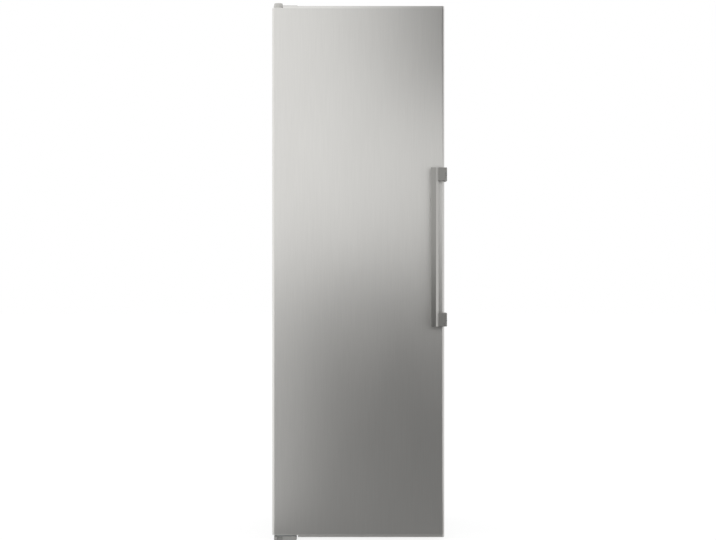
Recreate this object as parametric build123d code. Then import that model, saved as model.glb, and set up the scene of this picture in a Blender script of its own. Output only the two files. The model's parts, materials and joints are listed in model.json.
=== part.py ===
from build123d import *
import os

# A free-standing refrigerator with one door, in millimetres, hinged on its left.
# While the pieces are made, x = 0 is the middle of the cabinet, y = 0 is the cabinet's front,
# with the door in front of it at negative y, and z = 0 is the floor.
# At the end each piece moves by ROW_SHIFT, which puts the origin on the floor under the middle
# of the whole outline.

# Cabinet
CABINET_WIDTH = 595.0
CABINET_DEPTH = 563.0
CABINET_HEIGHT = 1816.0
CABINET_CLEARANCE = 30.0  # floor to the base panel
SHEET = 1.0  # painted steel
SIDE_WALL = 48.0  # outside of the cabinet to the food space
FLOOR_WALL = 45.0
CEILING_WALL = 46.0
REAR_WALL = 58.0
REAR_RETURN = 15.0  # width of the fold at the back of each side panel
BAY_DEPTH = 173.0  # the open bay for the compressor, at the back below
BAY_HEIGHT = 232.0
BAY_FRONT_WALL = 50.0
BAY_ROOF_WALL = 47.0
HALF = CABINET_WIDTH / 2
CABINET_TOP = CABINET_CLEARANCE + CABINET_HEIGHT
CAVITY_X = HALF - SIDE_WALL
CAVITY_FLOOR = CABINET_CLEARANCE + FLOOR_WALL
CAVITY_TOP = CABINET_TOP - CEILING_WALL
CAVITY_REAR = CABINET_DEPTH - REAR_WALL
BAY_Y = CABINET_DEPTH - BAY_DEPTH
BAY_Z = CABINET_CLEARANCE + BAY_HEIGHT
STEP_Y = BAY_Y - BAY_FRONT_WALL
STEP_Z = BAY_Z + SHEET + BAY_ROOF_WALL

# Liner
LINER = 2.0
LINER_FLANGE = 10.0
LINER_CORNER = 10.0
LEDGE_WIDTH = 10.0
LEDGE_HEIGHT = 6.0
FLANGE_X = CAVITY_X + LINER_FLANGE
FLANGE_BOTTOM = CAVITY_FLOOR - LINER_FLANGE
FLANGE_TOP = CAVITY_TOP + LINER_FLANGE

# Running gaps
REST_GAP = 0.3  # between pieces of two bodies that rest on each other
PIN_GAP = 0.05  # round a pin or a shaft
SCREW_GAP = 0.1  # round a screw's shank

# Door
GASKET_GAP = 10.0  # cabinet front to the back of the door
DOOR_THICKNESS = 52.0
DOOR_RISE = 3.0  # door above the cabinet's top
DOOR_DROP = 16.0  # door below the cabinet's base panel
DOOR_SHEET = 0.8
DOOR_EDGE = 9.0  # radius of the rolled upright edges
DOOR_FOLD = 10.0
TOP_CAP = 9.0
BOTTOM_CAP = 10.0
CAP_WALL = 2.5
CAP_EDGE = 2.0
CAP_RIB = 1.6
CAP_RIB_PITCH = 68.0
DOOR_BACK = -GASKET_GAP
DOOR_FACE = DOOR_BACK - DOOR_THICKNESS
DOOR_TOP = CABINET_TOP + DOOR_RISE
DOOR_BOTTOM = CABINET_CLEARANCE - DOOR_DROP
SKIN_TOP = DOOR_TOP - TOP_CAP
SKIN_BOTTOM = DOOR_BOTTOM + BOTTOM_CAP

# Door liner: a plate with a raised ring that reaches into the food space and holds the racks
RIDGE_SIDE_GAP = 8.0  # ring to the side of the food space
RIDGE_END_GAP = 8.0
RIDGE_WIDTH = 26.0
RIDGE_REACH = 24.0  # ring behind the cabinet's front
RIDGE_CORNER = 20.0
RIDGE_INNER_CORNER = 10.0
LUG_REACH = 7.2
LUG_HEIGHT = 12.0
LUG_FRONT = -5.0
LUG_REAR = 20.0
DOOR_LINER_FRONT = DOOR_BACK - LINER
RIDGE_X = CAVITY_X - RIDGE_SIDE_GAP
RIDGE_INNER_X = RIDGE_X - RIDGE_WIDTH
RIDGE_BOTTOM = CAVITY_FLOOR + RIDGE_END_GAP
RIDGE_TOP = CAVITY_TOP - RIDGE_END_GAP

# Gasket and its magnet strips
GASKET_INSET = 22.0
GASKET_WIDTH = 14.0
GASKET_LIP = 2.0
GASKET_WEB = 1.5
GASKET_BULB = 5.7
MAGNET_WIDTH = 9.6
MAGNET_THICKNESS = 3.0
MAGNET_GAP = 0.2
GASKET_TOP_INSET = 22.0
GASKET_BOTTOM_INSET = 22.0
GASKET_X = HALF - GASKET_INSET
GASKET_BASE = DOOR_BOTTOM + GASKET_BOTTOM_INSET
GASKET_HEAD = DOOR_TOP - GASKET_TOP_INSET
GASKET_REAR = -REST_GAP

# Hinges
HINGE_INSET = 21.0  # pin axis to the door's left side
HINGE_SETBACK = 22.0  # pin axis behind the door's face
HINGE_PLATE = 3.0
PIN_RADIUS = 4.0
PIN_LENGTH = 26.0
BUSH_WALL = 3.0
BUSH_FLANGE = 2.0
BUSH_FLANGE_THICKNESS = 1.5
BUSH_LENGTH = 30.0
BOSS_WALL = 3.0
NOSE_RADIUS = 14.5  # outside of the top hinge cover, round the pin
NOTCH_GAP = 2.0
COVER_WALL = 2.0
COVER_HEIGHT = 14.0  # top hinge cover above the cabinet's top
COVER_MARGIN = 4.0
COVER_CORNER = 3.0
COVER_EDGE = 1.5
COVER_BODY_CORNER = 6.0
COVER_NECK = 12.0  # overlap of the cover's neck with its body
COVER_GAP = 0.6  # nose of the cover above the notch's floor
PLATE_LENGTH = 66.0  # part of a hinge plate that lies on the cabinet
PLATE_WIDTH = 78.0
PLATE_FRONT = 4.0
PLATE_INSET = 4.5
LOWER_NOTCH_WIDTH = 68.0
LOWER_COVER_HEIGHT = 11.0
LOWER_COVER_FRONT = 18.0  # ahead of the pin axis
LOWER_COVER_REAR = 34.0
LOWER_COVER_GAP = 5.0  # cover to the notch in the door, which swings past it
LOWER_RECESS_WIDTH = 18.0
LOWER_RECESS_DEPTH = 8.0
LOWER_NOSE = 14.0  # lower hinge plate ahead of the pin axis
LOWER_STEP = 1.0  # step in the lower hinge plate ahead of the cabinet's front
SCREW_RADIUS = 2.5
SCREW_HEAD_RADIUS = 5.0
SCREW_HEAD = 3.0
SOCKET_RADIUS = 1.6
SOCKET_DEPTH = 1.8
HINGE_SCREW_LENGTH = 14.0
HINGE_SCREW_INSET = 10.5  # screw axis to the edges of the plate
REINFORCEMENT = 3.0
AXIS_X = HINGE_INSET - HALF
AXIS_Y = DOOR_FACE + HINGE_SETBACK
NOTCH_X = AXIS_X + NOSE_RADIUS + NOTCH_GAP
LOWER_NOTCH_X = AXIS_X + LOWER_NOTCH_WIDTH
LOWER_COVER_X = LOWER_NOTCH_X - LOWER_COVER_GAP
NOTCH_FLOOR = SKIN_TOP + CAP_WALL
LOWER_NOTCH_ROOF = SKIN_BOTTOM - CAP_WALL
LOWER_PLATE_TOP = LOWER_NOTCH_ROOF - BUSH_FLANGE_THICKNESS
BUSH_RADIUS = PIN_RADIUS + PIN_GAP + BUSH_WALL
BOSS_RADIUS = BUSH_RADIUS + BOSS_WALL
PLATE_LEFT = PLATE_INSET - HALF
PLATE_RIGHT = PLATE_LEFT + PLATE_WIDTH
PLATE_REAR = PLATE_FRONT + PLATE_LENGTH

# Handle
HANDLE_BOTTOM = 743.0
HANDLE_LENGTH = 546.0
HANDLE_FRONT_WIDTH = 17.6
HANDLE_FLANK = 8.7
HANDLE_FLANK_FALL = 9.0
HANDLE_DEPTH = 16.0
HANDLE_EDGE = 1.5
HANDLE_GAP = 32.0  # finger space between the bar and the door
BRACKET_HEIGHT = 46.5
BRACKET_ARM = 18.0
BRACKET_ARM_INSET = 2.0
BRACKET_LEG = 7.5
BRACKET_LEG_END = 37.0  # how far the leg runs along the door's side
BRACKET_OVERHANG = 22.0  # bar to the door's side
BRACKET_EDGE = 2.0
HANDLE_SCREW_LENGTH = 26.0
BAR_SCREW_LENGTH = 40.0
LEG_SCREW_SPACING = 24.0
BAR_REAR = DOOR_FACE - HANDLE_GAP
BAR_FRONT = BAR_REAR - HANDLE_DEPTH
BAR_RIGHT = HALF - BRACKET_OVERHANG
BAR_LEFT = BAR_RIGHT - HANDLE_FLANK - HANDLE_FRONT_WIDTH
BRACKET_RIGHT = HALF + BRACKET_LEG
HANDLE_TOP = HANDLE_BOTTOM + HANDLE_LENGTH

# Door racks
RACK_FLOORS = (1370.0, 980.0, 590.0)
RACK_HEIGHT = 82.0
RACK_REACH = 80.0
BOTTLE_RACK_FLOOR = 130.0
BOTTLE_RACK_HEIGHT = 118.0
BOTTLE_RACK_REACH = 95.0
RACK_WALL = 2.5
RACK_FRONT_GAP = 1.0
RACK_CORNER = 16.0
RACK_LOWER_EDGE = 4.0
RACK_SIDE_GAP = 8.0
RACK_HOOK_DROP = 20.0  # rim to the underside of the hook
RACK_HOOK = 3.0
RACK_LIP = 8.0
HOOK_SIDE_GAP = 1.0
RACK_X = RIDGE_INNER_X - RACK_SIDE_GAP
HOOK_X = RIDGE_INNER_X - HOOK_SIDE_GAP
RACK_FRONT = DOOR_BACK + RACK_FRONT_GAP

# Air duct and fan
DUCT_WIDTH = 120.0
DUCT_DEPTH = 25.0
DUCT_RISE = 485.0
DUCT_HEAD_GAP = 100.0
DUCT_WALL = 2.0
DUCT_EDGE = 4.0
DUCT_SLOT = 8.0
DUCT_SLOT_LENGTH = 70.0
DUCT_SLOT_PITCH = 90.0
FAN_DROP = 70.0  # fan axis below the duct's top
FAN_RADIUS = 38.0
FAN_GRILLE_RADIUS = 42.0
FAN_HUB_RADIUS = 12.0
FAN_THICKNESS = 10.0
FAN_FRONT_GAP = 3.0
FAN_BLADES = 7
FAN_BLADE_THICKNESS = 1.6
FAN_BLADE_CHORD = 16.0
FAN_BLADE_TILT = 28.0
SHAFT_END_GAP = 0.5
SHAFT_SEAT = 2.5  # end of the shaft behind the hub's front
SHAFT_RADIUS = 1.5
MOTOR_RADIUS = 16.0
MOTOR_LENGTH = 8.0
DUCT_BOTTOM = CAVITY_FLOOR + DUCT_RISE
DUCT_TOP = CAVITY_TOP - DUCT_HEAD_GAP
DUCT_FRONT = CAVITY_REAR - DUCT_DEPTH
FAN_Z = DUCT_TOP - FAN_DROP
FAN_FRONT = DUCT_FRONT + DUCT_WALL + FAN_FRONT_GAP

# Shelves, by the height of each glass above the floor of the food space
GLASS = 4.0
SHELF_RISES = (415.0, 655.0, 1115.0, 1345.0)
PULL_OUT_RISE = 885.0
COVER_RISE = 6.0  # crisper cover above the step
SHELF_SIDE_GAP = 2.5
SHELF_FRONT = 108.0
SHELF_REAR_GAP = 12.0  # glass to the air duct
LEDGE_SETBACK = 10.0  # ledges behind the front of the glass
LEDGE_SIDE_GAP = 1.0  # rear trim of the pull-out shelf to the ledges
TRIM_FRONT = 4.0
TRIM_DEPTH = 12.0
TRIM_BELOW = 5.0
TRIM_ABOVE = 5.0
REAR_TRIM_DEPTH = 12.0
COVER_TRIM_BELOW = 14.0
COVER_REAR_GAP = 27.0  # crisper cover to the rear of the food space
TRIM_EDGE = 1.5
SHELF_X = CAVITY_X - SHELF_SIDE_GAP
SHELF_REAR = DUCT_FRONT - SHELF_REAR_GAP
COVER_REAR = CAVITY_REAR - COVER_REAR_GAP
LEDGE_FRONT = SHELF_FRONT + LEDGE_SETBACK
COVER_LEVEL = STEP_Z + COVER_RISE
SHELF_LEVELS = tuple(CAVITY_FLOOR + rise for rise in SHELF_RISES)
PULL_OUT_LEVEL = CAVITY_FLOOR + PULL_OUT_RISE

# Drawers
DRAWER_WALL = 2.5
DRAWER_SIDE_GAP = 13.5
DRAWER_SETBACK = 4.0  # drawers behind the front of the glass
DRAWER_FRONT_WALL = 4.0
DRAWER_CORNER = 12.0
DRAWER_LOWER_EDGE = 9.5
DRAWER_HEAD_GAP = 10.0
DRAWER_REAR_GAP = 35.0  # upper drawer to the rear of the food space
CRISPER_REAR_GAP = 5.0
CRISPER_HEAD_GAP = 16.0
GRIP_HEIGHT = 22.0
GRIP_DEPTH = 5.0
GRIP_WIDTH = 180.0
GRIP_EDGE = 2.5
DRAWER_X = CAVITY_X - DRAWER_SIDE_GAP
DRAWER_FRONT = SHELF_FRONT + DRAWER_SETBACK
UPPER_DRAWER_REAR = CAVITY_REAR - DRAWER_REAR_GAP

# Humidity slider in the crisper cover's trim
SLIDER_X = 120.0
SLIDER_WIDTH = 18.0
SLIDER_HEIGHT = 9.0
SLIDER_THICKNESS = 3.5
SLIDER_STEM = 4.4
SLIDER_EDGE = 1.2
SLIDER_TRAVEL = 20.0
SLIDER_CATCH = 1.5  # thickness of the catch behind the trim

# Evaporator plate in the foam behind the food space
EVAPORATOR_WIDTH = 440.0
EVAPORATOR_HEIGHT = 700.0
EVAPORATOR_RISE = 725.0
EVAPORATOR_PLATE = 1.5
EVAPORATOR_TUBE_RADIUS = 4.0
EVAPORATOR_TUBE_BITE = 0.5
EVAPORATOR_PITCH = 90.0
EVAPORATOR_BEND = 30.0
EVAPORATOR_MARGIN = 40.0
EVAPORATOR_FRONT = CAVITY_REAR + LINER
EVAPORATOR_BOTTOM = CAVITY_FLOOR + EVAPORATOR_RISE
EVAPORATOR_TUBE_Y = EVAPORATOR_FRONT + EVAPORATOR_PLATE + EVAPORATOR_TUBE_RADIUS - EVAPORATOR_TUBE_BITE

# Control panel and lamp under the ceiling
PANEL_WIDTH = 300.0
PANEL_FRONT = 100.0
PANEL_DEPTH = 200.0
PANEL_HEIGHT = 35.0
PANEL_WALL = 2.5
PANEL_CORNER = 8.0
LAMP_WIDTH = 220.0
LAMP_DEPTH = 130.0
LAMP_THICKNESS = 4.0
LAMP_GAP = 0.2
LAMP_RIM_WIDTH = 2.5
LAMP_RIM_THICKNESS = 1.2
BUTTON_WIDTH = 16.0
BUTTON_HEIGHT = 8.0
BUTTON_EDGE = 0.7
BUTTON_DEPTH = 6.0
BUTTON_FLANGE = 1.5
BUTTON_TRAVEL = 1.0
BUTTON_STOP = 0.5  # still proud of the panel when pushed
BUTTON_X = 30.0
BUTTON_DROP = 17.0
PANEL_BOTTOM = CAVITY_TOP - PANEL_HEIGHT
BUTTON_PROUD = BUTTON_TRAVEL + BUTTON_STOP

# Compressor bay
TRAY_SHEET = 1.5
STUD_RADIUS = 3.0
STUD_HEIGHT = 24.0
GROMMET_RADIUS = 11.0
GROMMET_HEIGHT = 16.0
GROMMET_NECK_RADIUS = 6.0
GROMMET_EDGE = 1.0
FOOT_PLATE = 2.5
FOOT_PLATE_MARGIN = 17.0  # mount's axis to the edges of the foot plate
FOOT_PLATE_CORNER = 8.5
MOUNT_SPACING_X = 185.0
MOUNT_SPACING_Y = 104.0
COMPRESSOR_X = 60.0
COMPRESSOR_WIDTH = 190.0
COMPRESSOR_DEPTH = 148.0
COMPRESSOR_HEIGHT = 165.0
COMPRESSOR_ROUND = 38.0
SEAM_HEIGHT = 7.0
SEAM_WIDTH = 4.0
STUB_RADIUS = 5.0
STUB_LENGTH = 12.0
RELAY_PAD_LENGTH = 10.0
RELAY_PAD_WIDTH = 44.0
RELAY_PAD_HEIGHT = 60.0
RELAY_PAD_RISE = 50.0
TERMINAL_DEPTH = 42.0
TERMINAL_WALL = 2.0
TERMINAL_SEAT = 4.0  # how far the cover reaches over the pad
TERMINAL_EDGE = 4.0
GLAND_RADIUS = 8.0
GLAND_LENGTH = 10.0
GLAND_BORE = 4.5
GLAND_RISE = 14.0  # gland's axis above the pad's lower edge
WATER_TRAY_WIDTH = 150.0
WATER_TRAY_DEPTH = 104.0
WATER_TRAY_HEIGHT = 30.0
WATER_TRAY_WALL = 2.0
WATER_TRAY_CORNER = 10.0
HOSE_RADIUS = 8.0
HOSE_BORE = 5.5
HOSE_OFFSET = 35.0  # hose axis to the right of the compressor's middle
HOSE_SETBACK = 17.0  # hose axis ahead of the rear of the food space
HOSE_DIP = 6.0  # hose end below the rim of the water tray
BAY_MIDDLE = (BAY_Y + CABINET_DEPTH) / 2
TRAY_TOP = CABINET_CLEARANCE + TRAY_SHEET
GROMMET_TOP = TRAY_TOP + GROMMET_HEIGHT
SHELL_BOTTOM = GROMMET_TOP + FOOT_PLATE
SHELL_TOP = SHELL_BOTTOM + COMPRESSOR_HEIGHT
HOSE_X = COMPRESSOR_X + HOSE_OFFSET
HOSE_Y = CAVITY_REAR - HOSE_SETBACK
MOUNT_X = MOUNT_SPACING_X / 2
MOUNT_Y = MOUNT_SPACING_Y / 2

# Pipework
SUCTION_RADIUS = 4.0
DISCHARGE_RADIUS = 2.5
CAPILLARY_RADIUS = 1.5
DRIER_RADIUS = 9.0
DRIER_LENGTH = 60.0
DRIER_NECK = 10.0
DRIER_DROP = 48.0  # lower end of the condenser's tube to the top of the drier
PIPE_BEND = 12.0
SUCTION_X = 200.0
CAPILLARY_OFFSET = 8.0
SUCTION_RISE = 100.0  # suction stub above the compressor's feet
DISCHARGE_RISE = 50.0
DISCHARGE_OFFSET = 34.0
PIPE_GAP = 0.2

# Condenser on the back
CONDENSER_GAP = 14.0  # rear panel to the tube's axis
CONDENSER_INSET = 57.5  # outside of the runs' bends to the cabinet's side
RISER_OFFSET = 22.0
CONDENSER_BOTTOM = 300.0
CONDENSER_HEAD_GAP = 160.0  # cabinet top to the upper run
CONDENSER_PITCH = 58.0
CONDENSER_BEND = 20.0
RISER_START = 140.0
DOWN_END = 200.0
BRAZE_DROP = 10.0  # brazed joints of the riser and the lower end below the lowest bends
WIRE_RADIUS = 0.8
WIRE_GAP = 0.1
WIRE_PITCH = 17.0
WIRE_SIDE_GAP = 5.0
WIRE_OVERRUN = 12.0
CLIP_WIDTH = 16.0
CLIP_SIDE_GAP = 2.0  # clip to the end of a run's straight part
CLIP_HEIGHT = 22.0
CLIP_COVER = 5.0
WALL_GAP = 25.0  # rear panel to the wall
SPACER_RADIUS = 7.0
CONDENSER_X = HALF - CONDENSER_INSET
RISER_X = CONDENSER_X + RISER_OFFSET
CONDENSER_Y = CABINET_DEPTH + CONDENSER_GAP
CONDENSER_TOP = CABINET_TOP - CONDENSER_HEAD_GAP
RUN_PAIRS = int((CONDENSER_TOP - CONDENSER_BOTTOM) / CONDENSER_PITCH / 2)
RUN_COUNT = 2 * RUN_PAIRS
CLIP_X = CONDENSER_X - CONDENSER_BEND - CLIP_SIDE_GAP - CLIP_WIDTH / 2

# Rollers and feet
SUPPORT_INSET = 35.5  # middle of a roller or foot to the cabinet's side
ROLLER_RADIUS = 12.0
ROLLER_WIDTH = 18.0
ROLLER_GAP = 0.4
ROLLER_EDGE = 1.0
ROLLER_SETBACK = 38.0  # axle ahead of the rear panel
AXLE_RADIUS = 3.0
AXLE_HEAD_RADIUS = 5.0
AXLE_HEAD = 1.5
EAR_SHEET = 1.5
EAR_HALF = 9.0
EAR_BELOW = 6.0
FOOT_RADIUS = 16.0
FOOT_HEIGHT = 10.0
FOOT_SETBACK = 100.0
FOOT_EDGE = 1.5
FOOT_STUD_RADIUS = 4.0
FOOT_STUD_REACH = 20.0  # stud above the underside of the cabinet
FOOT_BUSH_RADIUS = 11.0
FOOT_BUSH_HEIGHT = 30.0
SUPPORT_X = HALF - SUPPORT_INSET
ROLLER_Y = CABINET_DEPTH - ROLLER_SETBACK
FOOT_STUD_TOP = CABINET_CLEARANCE + FOOT_STUD_REACH

FAR = 4000.0  # longer than the whole refrigerator, for cuts that run right through
ROW_SHIFT = Pos(-(BRACKET_RIGHT - HALF) / 2, -(BAR_FRONT + CABINET_DEPTH + WALL_GAP) / 2, 0)


def span(x0, x1, y0, y1, z0, z1):
    """A block between two values along each axis."""
    return Pos((x0 + x1) / 2, (y0 + y1) / 2, (z0 + z1) / 2) * Box(x1 - x0, y1 - y0, z1 - z0)


def rod_x(y, z, radius, x0, x1):
    """A round rod along x."""
    return Pos((x0 + x1) / 2, y, z) * Rot(0, 90, 0) * Cylinder(radius, x1 - x0)


def rod_y(x, z, radius, y0, y1):
    """A round rod along y."""
    return Pos(x, (y0 + y1) / 2, z) * Rot(90, 0, 0) * Cylinder(radius, y1 - y0)


def rod_z(x, y, radius, z0, z1):
    """A round rod along z."""
    return Pos(x, y, (z0 + z1) / 2) * Cylinder(radius, z1 - z0)


def prism(points, z0, z1):
    """An upright prism over an outline of x, y points."""
    return Pos(0, 0, z0) * extrude(make_face(Polyline(*points, close=True)), z1 - z0, dir=(0, 0, 1))


def round_upright(solid, radius, keep=lambda edge: True):
    """Rounds a solid's edges that run along z and that keep accepts."""
    return fillet([edge for edge in solid.edges().filter_by(Axis.Z) if keep(edge)], radius)


def ring_y(half, bottom, top, width, y0, y1):
    """A rectangular ring that lies in the plane of the door."""
    hole = span(width - half, half - width, y0, y1, bottom + width, top - width)
    return span(-half, half, y0, y1, bottom, top) - hole


def tube(points, bend, radius):
    """A round bar along straight runs joined by arcs."""
    path = FilletPolyline(*points, radius=bend)
    start = Plane(origin=path @ 0, z_dir=path % 0)
    return sweep(start * Circle(radius), path=path)


def both_sides(make):
    """Two solids, one on the left with side -1 and one on the right with side 1."""
    return [make(-1), make(1)]


# Cabinet


def cavity(grow, front):
    """The food space with its step over the compressor bay, grown all round by grow."""
    ahead = front - 2 * (LINER_CORNER + LINER)
    low, high, rear = CAVITY_FLOOR - grow, CAVITY_TOP + grow, CAVITY_REAR + grow
    points = [(ahead, low), (STEP_Y + grow, low), (STEP_Y + grow, STEP_Z - grow)]
    points += [(rear, STEP_Z - grow), (rear, high), (ahead, high)]
    profile = make_face(Plane.YZ * Polyline(*points, close=True))
    block = extrude(profile, CAVITY_X + grow, both=True)
    block = fillet(block.edges(), LINER_CORNER + grow)
    return block & span(-FAR, FAR, front, FAR, 0, FAR)


def side_panel(side):
    """A side sheet with a wide fold at the front and a narrow one at the back."""
    inner = HALF - SHEET
    sheet = span(inner, HALF, 0, CABINET_DEPTH, CABINET_CLEARANCE, CABINET_TOP)
    front_fold = span(FLANGE_X, HALF, 0, SHEET, CABINET_CLEARANCE, CABINET_TOP)
    left, rear = HALF - REAR_RETURN, CABINET_DEPTH - SHEET
    rear_fold = span(left, HALF, rear - SHEET, rear, BAY_Z + SHEET, CABINET_TOP - SHEET)
    panel = sheet + front_fold + rear_fold
    return panel if side > 0 else mirror(panel, Plane.YZ)


def hinge_screw_places():
    """Middles of the three screws of each hinge plate."""
    left, right = PLATE_LEFT + HINGE_SCREW_INSET, PLATE_RIGHT - HINGE_SCREW_INSET
    front, rear = PLATE_FRONT + HINGE_SCREW_INSET, PLATE_REAR - HINGE_SCREW_INSET
    return [(right, front), (right, rear), (left, rear)]


def hinge_screw_holes(z0, z1):
    return [rod_z(x, y, SCREW_RADIUS + SCREW_GAP, z0, z1) for x, y in hinge_screw_places()]


def top_panel():
    inner = HALF - SHEET
    panel = span(-inner, inner, SHEET, CABINET_DEPTH - SHEET, CABINET_TOP - SHEET, CABINET_TOP)
    return panel - hinge_screw_holes(CABINET_TOP - SHEET, CABINET_TOP)


def rear_panel():
    inner = HALF - SHEET
    return span(-inner, inner, CABINET_DEPTH - SHEET, CABINET_DEPTH, BAY_Z, CABINET_TOP)


def bay_panel():
    """The sheet in front of and above the compressor bay, with holes for the pipes and the hose."""
    inner = HALF - SHEET
    wall = span(-inner, inner, BAY_Y - SHEET, BAY_Y, CABINET_CLEARANCE, BAY_Z + SHEET)
    roof = span(-inner, inner, BAY_Y - SHEET, CABINET_DEPTH - SHEET, BAY_Z, BAY_Z + SHEET)
    panel = wall + roof
    panel -= rod_z(HOSE_X, HOSE_Y, HOSE_RADIUS + PIPE_GAP, BAY_Z, BAY_Z + SHEET)
    panel -= rod_z(SUCTION_X, EVAPORATOR_TUBE_Y, SUCTION_RADIUS + PIPE_GAP, BAY_Z, BAY_Z + SHEET)
    panel -= rod_z(
        SUCTION_X + CAPILLARY_OFFSET, EVAPORATOR_TUBE_Y, CAPILLARY_RADIUS + PIPE_GAP, BAY_Z, BAY_Z + SHEET
    )
    return panel


def foot_bush(side):
    top = CABINET_CLEARANCE + FOOT_BUSH_HEIGHT
    return rod_z(side * SUPPORT_X, FOOT_SETBACK, FOOT_BUSH_RADIUS, CABINET_CLEARANCE, top)


def foot_bore(side):
    top = CABINET_CLEARANCE + FOOT_BUSH_HEIGHT
    return rod_z(side * SUPPORT_X, FOOT_SETBACK, FOOT_STUD_RADIUS + SCREW_GAP, CABINET_CLEARANCE, top)


def base_panel():
    """The sheet under the food space, with a welded bush for each front foot."""
    inner = HALF - SHEET
    panel = span(-inner, inner, SHEET, BAY_Y - SHEET, CABINET_CLEARANCE, CABINET_CLEARANCE + SHEET)
    panel += both_sides(foot_bush)
    panel -= both_sides(foot_bore)
    return panel - hinge_screw_holes(CABINET_CLEARANCE, CABINET_CLEARANCE + SHEET)


def front_crossbars():
    """Strips across the front above and below the food space."""
    lower = span(-FLANGE_X, FLANGE_X, 0, SHEET, CABINET_CLEARANCE, FLANGE_BOTTOM)
    upper = span(-FLANGE_X, FLANGE_X, 0, SHEET, FLANGE_TOP, CABINET_TOP)
    return [lower, upper]


def ledge(side, level, rear):
    """A rib along a side of the liner that carries a shelf glass."""
    x0, x1 = CAVITY_X - LEDGE_WIDTH, CAVITY_X + LINER / 2
    low, high = min(side * x0, side * x1), max(side * x0, side * x1)
    return span(low, high, LEDGE_FRONT, rear, level - LEDGE_HEIGHT, level)


def inner_liner():
    """The white tub with its front flange and its shelf ledges."""
    tub = cavity(LINER, 0)
    liner = tub + span(-FLANGE_X, FLANGE_X, 0, LINER, FLANGE_BOTTOM, FLANGE_TOP)
    liner -= cavity(0, -LINER)
    for side in (-1, 1):
        for level in SHELF_LEVELS + (PULL_OUT_LEVEL,):
            liner += ledge(side, level, SHELF_REAR - REAR_TRIM_DEPTH / 2) & tub
        liner += ledge(side, COVER_LEVEL, COVER_REAR) & tub
    return liner - rod_z(HOSE_X, HOSE_Y, HOSE_BORE, STEP_Z - LINER, STEP_Z)


def reinforcement():
    """The steel plate under the top panel that the hinge screws bite into."""
    top = CABINET_TOP - SHEET
    plate = span(PLATE_LEFT, PLATE_RIGHT, PLATE_FRONT, PLATE_REAR, top - REINFORCEMENT, top)
    return plate - hinge_screw_holes(top - REINFORCEMENT, top)


def screw_tips():
    """The space in the foam at the ends of the hinge screws."""
    upper = CABINET_TOP - SHEET - REINFORCEMENT
    lower = CABINET_CLEARANCE + SHEET
    return hinge_screw_holes(upper - HINGE_SCREW_LENGTH, upper) + hinge_screw_holes(
        lower, lower + HINGE_SCREW_LENGTH
    )


def cabinet_foam():
    """The insulation that fills the space between the sheets and the liner."""
    inner = HALF - SHEET
    rear = CABINET_DEPTH - SHEET
    foam = span(-inner, inner, SHEET, rear, CABINET_CLEARANCE + SHEET, CABINET_TOP - SHEET)
    foam -= span(-inner, inner, BAY_Y - SHEET, rear, CABINET_CLEARANCE, BAY_Z + SHEET)
    foam -= cavity(LINER, 0)
    foam -= span(-FLANGE_X, FLANGE_X, 0, LINER, FLANGE_BOTTOM, FLANGE_TOP)
    for side in (-1, 1):
        low, high = sorted((side * (HALF - REAR_RETURN), side * inner))
        foam -= span(low, high, rear - SHEET, rear, BAY_Z + SHEET, CABINET_TOP - SHEET)
        foam -= foot_bush(side)
    top = CABINET_TOP - SHEET
    foam -= span(PLATE_LEFT, PLATE_RIGHT, PLATE_FRONT, PLATE_REAR, top - REINFORCEMENT, top)
    foam -= screw_tips()
    pocket_rear = EVAPORATOR_TUBE_Y + EVAPORATOR_TUBE_RADIUS
    half = EVAPORATOR_WIDTH / 2
    evaporator_top = EVAPORATOR_BOTTOM + EVAPORATOR_HEIGHT
    foam -= span(-half, half, EVAPORATOR_FRONT, pocket_rear, EVAPORATOR_BOTTOM, evaporator_top)
    pipes_left = SUCTION_X - SUCTION_RADIUS
    pipes_right = SUCTION_X + CAPILLARY_OFFSET + CAPILLARY_RADIUS
    foam -= span(pipes_left, pipes_right, EVAPORATOR_FRONT, pocket_rear, BAY_Z + SHEET, EVAPORATOR_BOTTOM)
    return foam - rod_z(HOSE_X, HOSE_Y, HOSE_RADIUS, BAY_Z + SHEET, STEP_Z - LINER)


# Shelves and what hangs in the food space


def shelf_glass(level, rear):
    return span(-SHELF_X, SHELF_X, SHELF_FRONT, rear, level, level + GLASS)


def front_trim(level, below, above):
    """The moulding on a shelf's front edge, slotted for the glass."""
    y0 = SHELF_FRONT - TRIM_FRONT
    trim = span(-SHELF_X, SHELF_X, y0, y0 + TRIM_DEPTH, level - below, level + GLASS + above)
    trim = fillet(trim.edges().filter_by(Axis.X).group_by(Axis.Y)[0], TRIM_EDGE)
    return trim - shelf_glass(level, SHELF_REAR)


def rear_trim(level):
    y0 = SHELF_REAR - REAR_TRIM_DEPTH / 2
    trim = span(-SHELF_X, SHELF_X, y0, y0 + REAR_TRIM_DEPTH, level - TRIM_BELOW, level + GLASS + TRIM_ABOVE)
    return trim - shelf_glass(level, SHELF_REAR)


def cover_trim():
    """The trim of the crisper's cover, flush with its glass, with the humidity slider's slot."""
    trim = front_trim(COVER_LEVEL, COVER_TRIM_BELOW, 0)
    middle = COVER_LEVEL - COVER_TRIM_BELOW / 2
    half = SLIDER_WIDTH / 2 + SLIDER_TRAVEL
    stem = SLIDER_STEM / 2 + REST_GAP
    y0 = SHELF_FRONT - TRIM_FRONT
    return trim - span(SLIDER_X - half, SLIDER_X + half, y0, y0 + TRIM_DEPTH, middle - stem, middle + stem)


def shelf_glasses():
    """The glass over the crisper and the fixed shelves."""
    return [shelf_glass(COVER_LEVEL, COVER_REAR)] + [shelf_glass(z, SHELF_REAR) for z in SHELF_LEVELS]


def shelf_trims():
    trims = [cover_trim()]
    for level in SHELF_LEVELS:
        trims += [front_trim(level, TRIM_BELOW, TRIM_ABOVE), rear_trim(level)]
    return trims


def pull_out_glass():
    return shelf_glass(PULL_OUT_LEVEL + REST_GAP, SHELF_REAR)


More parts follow.
